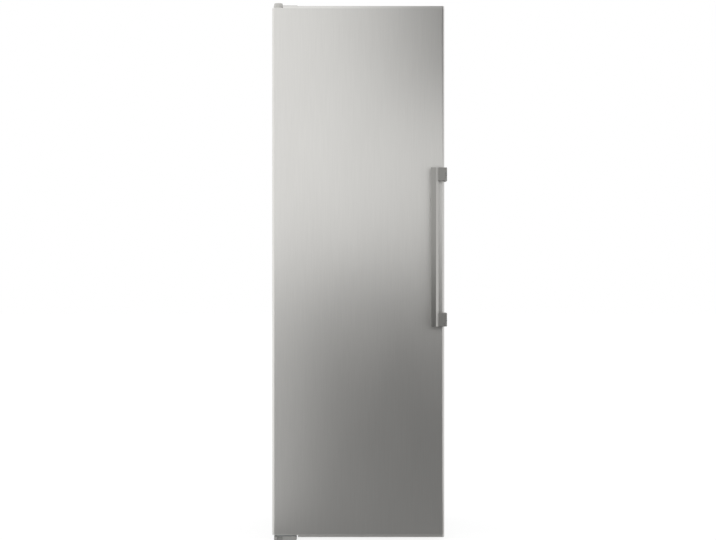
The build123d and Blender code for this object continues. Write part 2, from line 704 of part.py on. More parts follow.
def pull_out_trims():
    """The trims of the pull-out shelf, with the rear one cut away over the ledges that it slides on."""
    level = PULL_OUT_LEVEL + REST_GAP
    rear = rear_trim(level)
    for side in (-1, 1):
        low, high = sorted((side * (CAVITY_X - LEDGE_WIDTH - LEDGE_SIDE_GAP), side * CAVITY_X))
        rear -= span(low, high, -FAR, FAR, 0, level)
    return [front_trim(level, TRIM_BELOW, TRIM_ABOVE), rear]


def humidity_slider():
    """The knob in front of the cover's trim, with its stem through the slot and its catch behind."""
    middle = COVER_LEVEL - COVER_TRIM_BELOW / 2
    trim_y = SHELF_FRONT - TRIM_FRONT
    y1 = trim_y - REST_GAP
    half = SLIDER_WIDTH / 2
    knob = span(
        SLIDER_X - half, SLIDER_X + half, y1 - SLIDER_THICKNESS, y1,
        middle - SLIDER_HEIGHT / 2, middle + SLIDER_HEIGHT / 2,
    )
    knob = fillet(knob.edges().group_by(Axis.Y)[0], SLIDER_EDGE)
    stem_rear = trim_y + TRIM_DEPTH + REST_GAP
    stem_half = SLIDER_STEM / 2
    stem = span(
        SLIDER_X - stem_half, SLIDER_X + stem_half, y1, stem_rear + SLIDER_CATCH,
        middle - stem_half, middle + stem_half,
    )
    catch = span(
        SLIDER_X - stem_half, SLIDER_X + stem_half, stem_rear, stem_rear + SLIDER_CATCH,
        middle - SLIDER_HEIGHT / 2, middle + stem_half,
    )
    return knob + stem + catch


def drawer(rear, bottom, top):
    """An open box with rounded upright and lower edges, a thick front and a grip lip."""
    outer = span(-DRAWER_X, DRAWER_X, DRAWER_FRONT, rear, bottom, top)
    inner = span(
        DRAWER_WALL - DRAWER_X, DRAWER_X - DRAWER_WALL, DRAWER_FRONT + DRAWER_FRONT_WALL,
        rear - DRAWER_WALL, bottom + DRAWER_WALL, top + FAR,
    )
    outer = fillet(outer.edges().filter_by(Axis.Z), DRAWER_CORNER)
    outer = fillet(outer.edges().group_by(Axis.Z)[0], DRAWER_LOWER_EDGE)
    inner = fillet(inner.edges().filter_by(Axis.Z), DRAWER_CORNER - DRAWER_WALL)
    inner = fillet(inner.edges().group_by(Axis.Z)[0], DRAWER_LOWER_EDGE - DRAWER_WALL)
    box = outer - inner
    grip = span(
        -GRIP_WIDTH / 2, GRIP_WIDTH / 2, DRAWER_FRONT - GRIP_DEPTH, DRAWER_FRONT + DRAWER_FRONT_WALL / 2,
        top - GRIP_HEIGHT, top,
    )
    grip = fillet(grip.edges().filter_by(Axis.Z).group_by(Axis.Y)[0], GRIP_EDGE)
    hollow = span(
        DRAWER_WALL - GRIP_WIDTH / 2, GRIP_WIDTH / 2 - DRAWER_WALL,
        DRAWER_FRONT - GRIP_DEPTH + DRAWER_WALL, DRAWER_FRONT, top - GRIP_HEIGHT, top - DRAWER_WALL,
    )
    return box + (grip - hollow)


def lower_crisper():
    bottom = CAVITY_FLOOR + REST_GAP
    return drawer(STEP_Y - CRISPER_REAR_GAP, bottom, COVER_LEVEL - CRISPER_HEAD_GAP)


def upper_drawer():
    bottom = COVER_LEVEL + GLASS + REST_GAP
    return drawer(UPPER_DRAWER_REAR, bottom, SHELF_LEVELS[0] - DRAWER_HEAD_GAP)


def air_duct_cover():
    """The cover of the duct on the rear wall, with air slots and the fan's opening."""
    half = DUCT_WIDTH / 2
    cover = span(-half, half, DUCT_FRONT, CAVITY_REAR, DUCT_BOTTOM, DUCT_TOP)
    cover = fillet(cover.edges().group_by(Axis.Y)[0], DUCT_EDGE)
    cover -= span(
        DUCT_WALL - half, half - DUCT_WALL, DUCT_FRONT + DUCT_WALL, CAVITY_REAR,
        DUCT_BOTTOM + DUCT_WALL, DUCT_TOP - DUCT_WALL,
    )
    slots = int((FAN_Z - FAN_GRILLE_RADIUS - DUCT_BOTTOM - DUCT_SLOT_PITCH / 2) / DUCT_SLOT_PITCH)
    reach, front, behind = DUCT_SLOT_LENGTH / 2, DUCT_FRONT, DUCT_FRONT + DUCT_WALL
    for row in range(slots):
        z = DUCT_BOTTOM + DUCT_SLOT_PITCH / 2 + row * DUCT_SLOT_PITCH
        cover -= span(-reach, reach, front, behind, z, z + DUCT_SLOT)
    opening = rod_y(0, FAN_Z, FAN_GRILLE_RADIUS, front, behind)
    half_count = int(FAN_GRILLE_RADIUS / DUCT_SLOT)
    bars = [
        span(DUCT_WALL - half, half - DUCT_WALL, front, behind, z, z + DUCT_WALL)
        for z in [FAN_Z + step * DUCT_SLOT for step in range(-half_count, half_count + 1)]
    ]
    return cover - (opening - bars)


def fan_motor():
    """The motor on the rear wall, with its shaft."""
    can = rod_y(0, FAN_Z, MOTOR_RADIUS, CAVITY_REAR - MOTOR_LENGTH, CAVITY_REAR)
    return can + rod_y(0, FAN_Z, SHAFT_RADIUS, FAN_FRONT + SHAFT_SEAT, CAVITY_REAR)


def fan_impeller():
    """A hub with tilted blades and a bore that takes the motor's shaft."""
    y1 = FAN_FRONT + FAN_THICKNESS
    impeller = rod_y(0, FAN_Z, FAN_HUB_RADIUS, FAN_FRONT, y1)
    length = FAN_RADIUS - FAN_HUB_RADIUS / 2
    blade = Pos(FAN_HUB_RADIUS / 2 + length / 2, 0, 0) * Rot(FAN_BLADE_TILT, 0, 0)
    blade = blade * Box(length, FAN_BLADE_THICKNESS, FAN_BLADE_CHORD)
    blade = blade & rod_y(0, 0, FAN_RADIUS, -FAN_THICKNESS / 2, FAN_THICKNESS / 2)
    for number in range(FAN_BLADES):
        turned = Rot(0, number * 360 / FAN_BLADES, 0) * blade
        impeller += Pos(0, FAN_FRONT + FAN_THICKNESS / 2, FAN_Z) * turned
    return impeller - rod_y(0, FAN_Z, SHAFT_RADIUS + PIN_GAP, FAN_FRONT + SHAFT_SEAT - SHAFT_END_GAP, y1)


def evaporator():
    """The cold plate behind the liner, with the tube that winds over its back."""
    half = EVAPORATOR_WIDTH / 2
    top = EVAPORATOR_BOTTOM + EVAPORATOR_HEIGHT
    plate = span(
        -half, half, EVAPORATOR_FRONT, EVAPORATOR_FRONT + EVAPORATOR_PLATE, EVAPORATOR_BOTTOM, top
    )
    reach = half - EVAPORATOR_MARGIN
    runs = int((EVAPORATOR_HEIGHT - 2 * EVAPORATOR_MARGIN) / EVAPORATOR_PITCH / 2) * 2
    points = [(SUCTION_X, EVAPORATOR_TUBE_Y, EVAPORATOR_BOTTOM)]
    side = 1
    for run in range(runs + 1):
        z = EVAPORATOR_BOTTOM + EVAPORATOR_MARGIN + run * EVAPORATOR_PITCH
        first = SUCTION_X if run == 0 else side * reach
        points += [(first, EVAPORATOR_TUBE_Y, z), (-side * reach, EVAPORATOR_TUBE_Y, z)]
        side = -side
    return plate + tube(points, EVAPORATOR_BEND, EVAPORATOR_TUBE_RADIUS)


def button_middle(side):
    return side * BUTTON_X, PANEL_BOTTOM + BUTTON_DROP


def control_panel():
    """The housing under the ceiling, with an opening below for the lamp and two button holes."""
    half = PANEL_WIDTH / 2
    rear = PANEL_FRONT + PANEL_DEPTH
    housing = span(-half, half, PANEL_FRONT, rear, PANEL_BOTTOM, CAVITY_TOP)
    housing = fillet(housing.edges().filter_by(Axis.Z), PANEL_CORNER)
    inner = span(
        PANEL_WALL - half, half - PANEL_WALL, PANEL_FRONT + PANEL_WALL, rear - PANEL_WALL,
        PANEL_BOTTOM + PANEL_WALL, CAVITY_TOP,
    )
    housing -= fillet(inner.edges().filter_by(Axis.Z), PANEL_CORNER - PANEL_WALL)
    middle = (PANEL_FRONT + rear) / 2
    lamp = LAMP_WIDTH / 2
    housing -= span(
        -lamp, lamp, middle - LAMP_DEPTH / 2, middle + LAMP_DEPTH / 2,
        PANEL_BOTTOM, PANEL_BOTTOM + PANEL_WALL,
    )
    for side in (-1, 1):
        x, z = button_middle(side)
        w, h = BUTTON_WIDTH / 2 + REST_GAP, BUTTON_HEIGHT / 2 + REST_GAP
        housing -= span(x - w, x + w, PANEL_FRONT, PANEL_FRONT + PANEL_WALL, z - h, z + h)
    return housing


def lamp_cover():
    """The clear cover that snaps into the housing, with a rim that rests on the housing's floor."""
    middle = PANEL_FRONT + PANEL_DEPTH / 2
    w, d = LAMP_WIDTH / 2 - LAMP_GAP, LAMP_DEPTH / 2 - LAMP_GAP
    rim = LAMP_RIM_WIDTH
    plate = span(-w, w, middle - d, middle + d, PANEL_BOTTOM, PANEL_BOTTOM + LAMP_THICKNESS)
    floor = PANEL_BOTTOM + PANEL_WALL
    plate += span(-w - rim, w + rim, middle - d - rim, middle + d + rim, floor, floor + LAMP_RIM_THICKNESS)
    return plate


def panel_button(side):
    """A push button that stands proud of the panel, kept in by a flange behind the wall."""
    x, z = button_middle(side)
    w, h = BUTTON_WIDTH / 2, BUTTON_HEIGHT / 2
    y0 = PANEL_FRONT - BUTTON_PROUD
    cap = span(x - w, x + w, y0, y0 + BUTTON_DEPTH, z - h, z + h)
    cap = fillet(cap.edges().group_by(Axis.Y)[0], BUTTON_EDGE)
    y1 = PANEL_FRONT + PANEL_WALL + REST_GAP
    f = BUTTON_FLANGE
    return cap + span(x - w - f, x + w + f, y1, y0 + BUTTON_DEPTH, z - h - f, z + h + f)


# Door


def door_outline(inset, y_rear, z0, z1):
    """The door's body between two heights, with its front upright edges rolled."""
    block = span(inset - HALF, HALF - inset, DOOR_FACE + inset, y_rear, z0, z1)
    front = block.edges().filter_by(Axis.Z).group_by(Axis.Y)[0]
    return fillet(front, DOOR_EDGE - inset)


def door_skin():
    """The roll-formed stainless sheet: the face, both sides and a fold behind each side."""
    rear = DOOR_LINER_FRONT
    skin = door_outline(0, rear, SKIN_BOTTOM, SKIN_TOP)
    skin -= door_outline(DOOR_SHEET, rear - DOOR_SHEET, SKIN_BOTTOM, SKIN_TOP)
    open_x = HALF - DOOR_FOLD
    skin -= span(-open_x, open_x, rear - DOOR_SHEET, rear, SKIN_BOTTOM, SKIN_TOP)
    return skin - handle_screw_holes()


def cap_ribs(left, z0, z1):
    """The ribs across the hollow of a cap, spaced from its left end."""
    count = int((HALF - CAP_WALL - left) / CAP_RIB_PITCH)
    places = [left + CAP_RIB_PITCH * number for number in range(1, count + 1)]
    return [span(x, x + CAP_RIB, DOOR_FACE, DOOR_BACK, z0, z1) for x in places]


def door_top_cap():
    """The moulding on the door's top: hollow below, notched for the hinge, with the bush's boss."""
    cap = door_outline(0, DOOR_BACK, SKIN_TOP, DOOR_TOP)
    cap = fillet(cap.edges().group_by(Axis.Z)[-1], CAP_EDGE)
    pocket_left = NOTCH_X + CAP_WALL
    pocket = door_outline(CAP_WALL, DOOR_BACK - CAP_WALL, SKIN_TOP, DOOR_TOP - CAP_WALL)
    pocket &= span(pocket_left, FAR, -FAR, FAR, 0, FAR)
    cap -= pocket - cap_ribs(pocket_left, SKIN_TOP, DOOR_TOP)
    cap -= span(-FAR, NOTCH_X, -FAR, FAR, NOTCH_FLOOR, FAR)
    cap += rod_z(AXIS_X, AXIS_Y, BOSS_RADIUS, NOTCH_FLOOR - BUSH_LENGTH, NOTCH_FLOOR)
    return cap - rod_z(AXIS_X, AXIS_Y, BUSH_RADIUS, NOTCH_FLOOR - BUSH_LENGTH, NOTCH_FLOOR)


def door_bottom_cap():
    """The moulding under the door: hollow above, notched for the lower hinge."""
    cap = door_outline(0, DOOR_BACK, DOOR_BOTTOM, SKIN_BOTTOM)
    cap = fillet(cap.edges().group_by(Axis.Z)[0], CAP_EDGE)
    pocket_left = LOWER_NOTCH_X + CAP_WALL
    pocket = door_outline(CAP_WALL, DOOR_BACK - CAP_WALL, DOOR_BOTTOM + CAP_WALL, SKIN_BOTTOM)
    pocket &= span(pocket_left, FAR, -FAR, FAR, 0, FAR)
    cap -= pocket - cap_ribs(pocket_left, DOOR_BOTTOM, SKIN_BOTTOM)
    cap -= span(-FAR, LOWER_NOTCH_X, -FAR, FAR, -FAR, LOWER_NOTCH_ROOF)
    cap += rod_z(AXIS_X, AXIS_Y, BOSS_RADIUS, LOWER_NOTCH_ROOF, LOWER_NOTCH_ROOF + BUSH_LENGTH)
    return cap - rod_z(AXIS_X, AXIS_Y, BUSH_RADIUS, LOWER_NOTCH_ROOF, LOWER_NOTCH_ROOF + BUSH_LENGTH)


def hinge_bushes():
    """The flanged bush in each end of the door that turns on a hinge pin."""
    flange = BUSH_RADIUS + BUSH_FLANGE
    upper = rod_z(AXIS_X, AXIS_Y, BUSH_RADIUS, NOTCH_FLOOR - BUSH_LENGTH, NOTCH_FLOOR)
    upper += rod_z(AXIS_X, AXIS_Y, flange, NOTCH_FLOOR, NOTCH_FLOOR + BUSH_FLANGE_THICKNESS)
    lower = rod_z(AXIS_X, AXIS_Y, BUSH_RADIUS, LOWER_NOTCH_ROOF, LOWER_NOTCH_ROOF + BUSH_LENGTH)
    lower += rod_z(AXIS_X, AXIS_Y, flange, LOWER_PLATE_TOP, LOWER_NOTCH_ROOF)
    bore = rod_z(AXIS_X, AXIS_Y, PIN_RADIUS + PIN_GAP, 0, FAR)
    return [upper - bore, lower - bore]


def ridge(grow, y0, y1):
    """The raised ring of the door liner, or its hollow where grow is negative."""
    outer = span(-RIDGE_X - grow, RIDGE_X + grow, y0, y1, RIDGE_BOTTOM - grow, RIDGE_TOP + grow)
    outer = fillet(outer.edges().filter_by(Axis.Y), RIDGE_CORNER + grow)
    width = RIDGE_WIDTH + grow
    inner = span(
        width - RIDGE_X, RIDGE_X - width, y0, y1, RIDGE_BOTTOM + width, RIDGE_TOP - width
    )
    inner = fillet(inner.edges().filter_by(Axis.Y), RIDGE_INNER_CORNER - grow)
    return outer - inner


def lug_levels():
    """Top of the lugs for each rack."""
    racks = [z + RACK_HEIGHT - RACK_HOOK_DROP for z in RACK_FLOORS]
    return racks + [BOTTLE_RACK_FLOOR + BOTTLE_RACK_HEIGHT - RACK_HOOK_DROP]


def door_liner():
    """The white inner face of the door, with the ring that the racks hang in and their lugs."""
    liner = span(-HALF, HALF, DOOR_LINER_FRONT, DOOR_BACK, SKIN_BOTTOM, SKIN_TOP)
    liner += ridge(0, DOOR_BACK, RIDGE_REACH)
    liner -= ridge(-LINER, DOOR_LINER_FRONT, RIDGE_REACH - LINER)
    for level in lug_levels():
        for side in (-1, 1):
            x0, x1 = sorted((side * (RIDGE_INNER_X - LUG_REACH), side * (RIDGE_INNER_X + LINER / 2)))
            liner += span(x0, x1, LUG_FRONT, LUG_REAR, level - LUG_HEIGHT, level)
    return liner


def door_foam():
    """The insulation inside the door, which also fills the liner's ring."""
    foam = door_outline(DOOR_SHEET, DOOR_LINER_FRONT, SKIN_BOTTOM, SKIN_TOP)
    fold = HALF - DOOR_FOLD
    for side in (-1, 1):
        low, high = sorted((side * fold, side * HALF))
        foam -= span(low, high, DOOR_LINER_FRONT - DOOR_SHEET, DOOR_LINER_FRONT, SKIN_BOTTOM, SKIN_TOP)
    foam += ridge(-LINER, DOOR_LINER_FRONT, RIDGE_REACH - LINER)
    foam -= rod_z(AXIS_X, AXIS_Y, BOSS_RADIUS, NOTCH_FLOOR - BUSH_LENGTH, FAR)
    foam -= rod_z(AXIS_X, AXIS_Y, BOSS_RADIUS, 0, LOWER_NOTCH_ROOF + BUSH_LENGTH)
    return foam - handle_screw_holes()


def magnet_channel(inset, y0, y1):
    """The ring inside the gasket's bulb, made smaller on each face by inset."""
    side = (GASKET_WIDTH - MAGNET_WIDTH) / 2 - MAGNET_GAP + inset
    half = GASKET_X - side
    width = MAGNET_WIDTH + 2 * (MAGNET_GAP - inset)
    return ring_y(half, GASKET_BASE + side, GASKET_HEAD - side, width, y0 + inset, y1 - inset)


def magnet_span():
    thickness = MAGNET_THICKNESS + 2 * MAGNET_GAP
    middle = GASKET_REAR - GASKET_BULB / 2
    return middle - thickness / 2, middle + thickness / 2


def door_gasket():
    """The soft seal round the door: a base lip, two thin webs and the bulb that holds the magnet."""
    bulb_front = GASKET_REAR - GASKET_BULB
    base = ring_y(GASKET_X, GASKET_BASE, GASKET_HEAD, GASKET_WIDTH, DOOR_BACK, DOOR_BACK + GASKET_LIP)
    outer_web = ring_y(GASKET_X, GASKET_BASE, GASKET_HEAD, GASKET_WEB, DOOR_BACK, bulb_front)
    step = GASKET_WIDTH - GASKET_WEB
    inner_web = ring_y(
        GASKET_X - step, GASKET_BASE + step, GASKET_HEAD - step, GASKET_WEB, DOOR_BACK, bulb_front
    )
    bulb = ring_y(GASKET_X, GASKET_BASE, GASKET_HEAD, GASKET_WIDTH, bulb_front, GASKET_REAR)
    return base + outer_web + inner_web + bulb - magnet_channel(0, *magnet_span())


def magnet_strips():
    """Two long and two short magnet strips in the gasket's channel."""
    y0, y1 = magnet_span()
    strips = magnet_channel(MAGNET_GAP, y0, y1)
    side = (GASKET_WIDTH - MAGNET_WIDTH) / 2
    low, high = GASKET_BASE + side + MAGNET_WIDTH, GASKET_HEAD - side - MAGNET_WIDTH
    joints = span(-HALF, HALF, y0, y1, low, low + MAGNET_GAP)
    joints += span(-HALF, HALF, y0, y1, high - MAGNET_GAP, high)
    return list((strips - joints).solids())


def bar_outline():
    """The handle bar's section: a flat front, a sloping right flank and eased corners."""
    flank = BAR_FRONT + HANDLE_FLANK_FALL
    points = [(BAR_LEFT + HANDLE_EDGE, BAR_FRONT), (BAR_RIGHT - HANDLE_FLANK, BAR_FRONT)]
    points += [(BAR_RIGHT, flank), (BAR_RIGHT, BAR_REAR), (BAR_LEFT + HANDLE_EDGE, BAR_REAR)]
    return points + [(BAR_LEFT, BAR_REAR - HANDLE_EDGE), (BAR_LEFT, BAR_FRONT + HANDLE_EDGE)]


def bracket_bottoms():
    return [HANDLE_BOTTOM, HANDLE_TOP - BRACKET_HEIGHT]


def bar_screw_y():
    return BAR_REAR - (HANDLE_DEPTH - HANDLE_FLANK_FALL) / 2


def leg_screw_y():
    return DOOR_FACE + BRACKET_LEG_END / 2


def handle_screw_places():
    """For each screw of the handle: y, z and length, with its head at the bracket's right."""
    places = []
    for bottom in bracket_bottoms():
        middle = bottom + BRACKET_HEIGHT / 2
        places.append((bar_screw_y(), middle, BAR_SCREW_LENGTH))
        for side in (-1, 1):
            z = middle + side * LEG_SCREW_SPACING / 2
            places.append((leg_screw_y(), z, HANDLE_SCREW_LENGTH))
    return places


def handle_screw_holes():
    """Holes for the shanks of the handle's screws."""
    holes = []
    for y, z, length in handle_screw_places():
        end = BRACKET_RIGHT - length - 2 * SCREW_GAP
        holes.append(rod_x(y, z, SCREW_RADIUS + SCREW_GAP, end, BRACKET_RIGHT))
    return holes


def handle_bar():
    return prism(bar_outline(), HANDLE_BOTTOM, HANDLE_TOP) - handle_screw_holes()


def handle_bracket(bottom):
    """An arm from the bar to the right and a leg that runs back along the door's side."""
    arm_front = BAR_FRONT + BRACKET_ARM_INSET
    arm_rear = arm_front + BRACKET_ARM
    leg_end = DOOR_FACE + BRACKET_LEG_END
    points = [(BAR_RIGHT, arm_front), (BRACKET_RIGHT, arm_front), (BRACKET_RIGHT, leg_end)]
    points += [(HALF, leg_end), (HALF, arm_rear), (BAR_RIGHT, arm_rear)]
    bracket = prism(points, bottom, bottom + BRACKET_HEIGHT)
    bracket = round_upright(bracket, BRACKET_EDGE, lambda edge: edge.center().X > BRACKET_RIGHT - PIN_GAP)
    for y, z, length in handle_screw_places():
        if bottom < z < bottom + BRACKET_HEIGHT:
            seat = BRACKET_RIGHT - SCREW_HEAD
            bracket -= rod_x(y, z, SCREW_HEAD_RADIUS + SCREW_GAP, seat, BRACKET_RIGHT)
    return bracket - handle_screw_holes()


def handle_brackets():
    return [handle_bracket(bottom) for bottom in bracket_bottoms()]


def handle_screws():
    """Screws sunk in the brackets' right faces: one into the bar and two into the door each."""
    screws = []
    for y, z, length in handle_screw_places():
        head_left = BRACKET_RIGHT - SCREW_HEAD
        screw = rod_x(y, z, SCREW_RADIUS, BRACKET_RIGHT - length, head_left)
        screw += rod_x(y, z, SCREW_HEAD_RADIUS, head_left, BRACKET_RIGHT)
        screws.append(screw - hex_socket(y, z, BRACKET_RIGHT))
    return screws


def hex_socket(y, z, face):
    """The hexagon socket of a screw whose head ends at x = face."""
    left = face - SOCKET_DEPTH
    return Pos(left, y, z) * Rot(0, 90, 0) * extrude(RegularPolygon(SOCKET_RADIUS, 6), SOCKET_DEPTH)


# Racks on the door


def rack(floor, height, reach):
    """An open bin for the door with a rounded front, a rolled rim and a hook on each side."""
    top = floor + height
    bin_body = span(-RACK_X, RACK_X, RACK_FRONT, reach, floor, top)
    bin_body = round_upright(bin_body, RACK_CORNER, lambda edge: edge.center().Y > reach - RACK_WALL)
    bin_body = fillet(bin_body.edges().group_by(Axis.Z)[0], RACK_LOWER_EDGE)
    inner = span(
        RACK_WALL - RACK_X, RACK_X - RACK_WALL, RACK_FRONT + RACK_WALL, reach - RACK_WALL,
        floor + RACK_WALL, top,
    )
    bin_body -= round_upright(inner, RACK_CORNER - RACK_WALL, lambda edge: edge.center().Y > RACK_CORNER)
    shelf = top - RACK_HOOK_DROP + REST_GAP
    lip_gap = REST_GAP + RACK_HOOK
    for side in (-1, 1):
        low, high = sorted((side * (RACK_X - RACK_WALL), side * HOOK_X))
        hook = span(low, high, LUG_FRONT - lip_gap, LUG_REAR + lip_gap, shelf, shelf + RACK_HOOK)
        hook += span(low, high, LUG_FRONT - lip_gap, LUG_FRONT - REST_GAP, shelf - RACK_LIP, shelf)
        hook += span(low, high, LUG_REAR + REST_GAP, LUG_REAR + lip_gap, shelf - RACK_LIP, shelf)
        bin_body += hook
    return bin_body


def bottle_rack():
    return rack(BOTTLE_RACK_FLOOR, BOTTLE_RACK_HEIGHT, BOTTLE_RACK_REACH)


# Hinges


def top_hinge_bracket():
    """The plate on the cabinet's top that reaches forward to the upper pin."""
    z0, z1 = CABINET_TOP, CABINET_TOP + HINGE_PLATE
    nose = NOSE_RADIUS - COVER_WALL - REST_GAP
    plate = span(PLATE_LEFT, PLATE_RIGHT, PLATE_FRONT, PLATE_REAR, z0, z1)
    plate = fillet(plate.edges().filter_by(Axis.Z), COVER_CORNER)
    plate += span(AXIS_X - nose, AXIS_X + nose, AXIS_Y, PLATE_FRONT + PLATE_LENGTH / 2, z0, z1)
    plate += rod_z(AXIS_X, AXIS_Y, nose, z0, z1)
    plate += rod_z(AXIS_X, AXIS_Y, PIN_RADIUS, z0 - PIN_LENGTH, z1)
    return plate - hinge_screw_holes(z0, z1)


def top_cover_form(inset, z0, z1, nose_z0):
    """The outside of the top hinge cover, or its hollow where inset is its wall."""
    margin = COVER_MARGIN - inset
    left, right = PLATE_LEFT - COVER_WALL - PIN_GAP + inset, PLATE_RIGHT + margin
    body = span(left, right, inset, PLATE_REAR + margin, z0, z1)
    body = fillet(body.edges().filter_by(Axis.Z), COVER_BODY_CORNER - inset)
    nose = NOSE_RADIUS - inset
    neck = span(AXIS_X - nose, AXIS_X + nose, AXIS_Y, 0, nose_z0, z1)
    neck += rod_z(AXIS_X, AXIS_Y, nose, nose_z0, z1)
    return body + neck + span(AXIS_X - nose, AXIS_X + nose, 0, COVER_NECK, z0, z1)


def top_hinge_cover():
    """The moulded cover over the upper hinge, whose nose shows in the door's notch."""
    top = CABINET_TOP + COVER_HEIGHT
    cover = top_cover_form(0, CABINET_TOP, top, NOTCH_FLOOR + COVER_GAP)
    cover = fillet(cover.edges().group_by(Axis.Z)[-1], COVER_EDGE)
    return cover - top_cover_form(COVER_WALL, CABINET_TOP, top - COVER_WALL, SKIN_TOP)


def bottom_hinge_bracket():
    """The plate under the cabinet that steps down and forward to the lower pin."""
    rear_top = CABINET_CLEARANCE
    rear_bottom = rear_top - HINGE_PLATE
    front_bottom = LOWER_PLATE_TOP - HINGE_PLATE
    riser_front, riser_rear = -LOWER_STEP, HINGE_PLATE - LOWER_STEP
    left, right = AXIS_X - LOWER_NOSE, LOWER_COVER_X
    bracket = span(left, right, riser_front, PLATE_REAR, rear_bottom, rear_top)
    bracket += span(left, right, riser_front, riser_rear, front_bottom, rear_top)
    bracket += span(left, right, AXIS_Y - LOWER_NOSE, riser_rear, front_bottom, LOWER_PLATE_TOP)
    bracket += rod_z(AXIS_X, AXIS_Y, PIN_RADIUS, front_bottom, front_bottom + PIN_LENGTH)
    return bracket - hinge_screw_holes(rear_bottom, rear_top)


def bottom_hinge_cover():
    """The moulded cup under the lower hinge plate, with a recess in its front."""
    top = LOWER_PLATE_TOP - HINGE_PLATE
    bottom = top - LOWER_COVER_HEIGHT
    left, right = AXIS_X - NOSE_RADIUS, LOWER_COVER_X
    front, rear = AXIS_Y - LOWER_COVER_FRONT, AXIS_Y + LOWER_COVER_REAR
    cover = span(left, right, front, rear, bottom, top)
    cover = fillet(cover.edges().filter_by(Axis.Z), COVER_CORNER)
    cover = fillet(cover.edges().group_by(Axis.Z)[0], COVER_EDGE)
    w = COVER_WALL
    cover -= span(left + w, right - w, front + LOWER_RECESS_DEPTH + w, rear - w, bottom + w, top)
    half = LOWER_RECESS_WIDTH / 2
    middle = left + w + LOWER_RECESS_WIDTH
    return cover - span(middle - half, middle + half, front, front + LOWER_RECESS_DEPTH, bottom, top)


def hinge_screws():
    """Three screws down through the upper hinge plate and three up through the lower one."""
    screws = []
    for x, y in hinge_screw_places():
        seat = CABINET_TOP + HINGE_PLATE
        upper = rod_z(x, y, SCREW_RADIUS, seat - HINGE_SCREW_LENGTH, seat)
        screws.append(upper + rod_z(x, y, SCREW_HEAD_RADIUS, seat, seat + SCREW_HEAD))
        seat = CABINET_CLEARANCE - HINGE_PLATE
        lower = rod_z(x, y, SCREW_RADIUS, seat, seat + HINGE_SCREW_LENGTH)
        screws.append(lower + rod_z(x, y, SCREW_HEAD_RADIUS, seat - SCREW_HEAD, seat))
    return screws


# Compressor bay


def mount_places():
    """Middles of the compressor's four rubber mounts."""
    return [
        (COMPRESSOR_X + x * MOUNT_X, BAY_MIDDLE + y * MOUNT_Y) for x in (-1, 1) for y in (-1, 1)
    ]


def ear_places(side):
    """Inner faces of the two ears that hold a roller, from the lower x to the higher."""
    half = ROLLER_WIDTH / 2 + ROLLER_GAP
    return side * SUPPORT_X - half - EAR_SHEET, side * SUPPORT_X + half


def compressor_tray():
    """The floor of the bay, with four studs and two pairs of ears for the rear rollers."""
    inner = HALF - SHEET
    tray = span(-inner, inner, BAY_Y, CABINET_DEPTH - SHEET, CABINET_CLEARANCE, TRAY_TOP)
    for x, y in mount_places():
        tray += rod_z(x, y, STUD_RADIUS, CABINET_CLEARANCE, TRAY_TOP + STUD_HEIGHT)
    for side in (-1, 1):
        for x in ear_places(side):
            tray += span(
                x, x + EAR_SHEET, ROLLER_Y - EAR_HALF, ROLLER_Y + EAR_HALF,
                ROLLER_RADIUS - EAR_BELOW, TRAY_TOP,
            )
    return tray - [roller_axle(side, PIN_GAP) for side in (-1, 1)]


def roller_axle(side, gap):
    """A roller's axle with a flat head outside each ear, or its hole where gap is more than zero."""
    left, right = ear_places(side)
    x0, x1 = left, right + EAR_SHEET
    axle = rod_x(ROLLER_Y, ROLLER_RADIUS, AXLE_RADIUS + gap, x0, x1)
    if gap:
        return axle
    axle += rod_x(ROLLER_Y, ROLLER_RADIUS, AXLE_HEAD_RADIUS, x0 - AXLE_HEAD, x0)
    return axle + rod_x(ROLLER_Y, ROLLER_RADIUS, AXLE_HEAD_RADIUS, x1, x1 + AXLE_HEAD)


def roller_axles():
    return [roller_axle(side, 0) for side in (-1, 1)]


def rear_roller(side):
    half = ROLLER_WIDTH / 2
    wheel = rod_x(ROLLER_Y, ROLLER_RADIUS, ROLLER_RADIUS, side * SUPPORT_X - half, side * SUPPORT_X + half)
    wheel = chamfer(wheel.edges(), ROLLER_EDGE)
    return wheel - rod_x(
        ROLLER_Y, ROLLER_RADIUS, AXLE_RADIUS + PIN_GAP, side * SUPPORT_X - half, side * SUPPORT_X + half
    )


def front_foot(side):
    """A levelling foot: a disc on the floor and the stud that screws into the cabinet."""
    x = side * SUPPORT_X
    disc = rod_z(x, FOOT_SETBACK, FOOT_RADIUS, 0, FOOT_HEIGHT)
    disc = fillet(disc.edges(), FOOT_EDGE)
    return disc + rod_z(x, FOOT_SETBACK, FOOT_STUD_RADIUS, FOOT_HEIGHT - FOOT_EDGE, FOOT_STUD_TOP)


def compressor_grommets():
    """Rubber mounts between the tray and the compressor's foot plate."""
    grommets = []
    for x, y in mount_places():
        mount = rod_z(x, y, GROMMET_RADIUS, TRAY_TOP, GROMMET_TOP)
        mount = chamfer(mount.edges(), GROMMET_EDGE)
        mount += rod_z(x, y, GROMMET_NECK_RADIUS, GROMMET_TOP - GROMMET_EDGE, SHELL_BOTTOM)
        grommets.append(mount - rod_z(x, y, STUD_RADIUS + PIPE_GAP, TRAY_TOP, SHELL_BOTTOM))
    return grommets


def shell_block(grow, z0, z1):
    """An upright elliptical block about the compressor's middle."""
    outline = Ellipse(COMPRESSOR_WIDTH / 2 + grow, COMPRESSOR_DEPTH / 2 + grow)
    return Pos(COMPRESSOR_X, BAY_MIDDLE, z0) * extrude(outline, z1 - z0)


def stub_x(side):
    return COMPRESSOR_X + side * (COMPRESSOR_WIDTH / 2 + STUB_LENGTH)


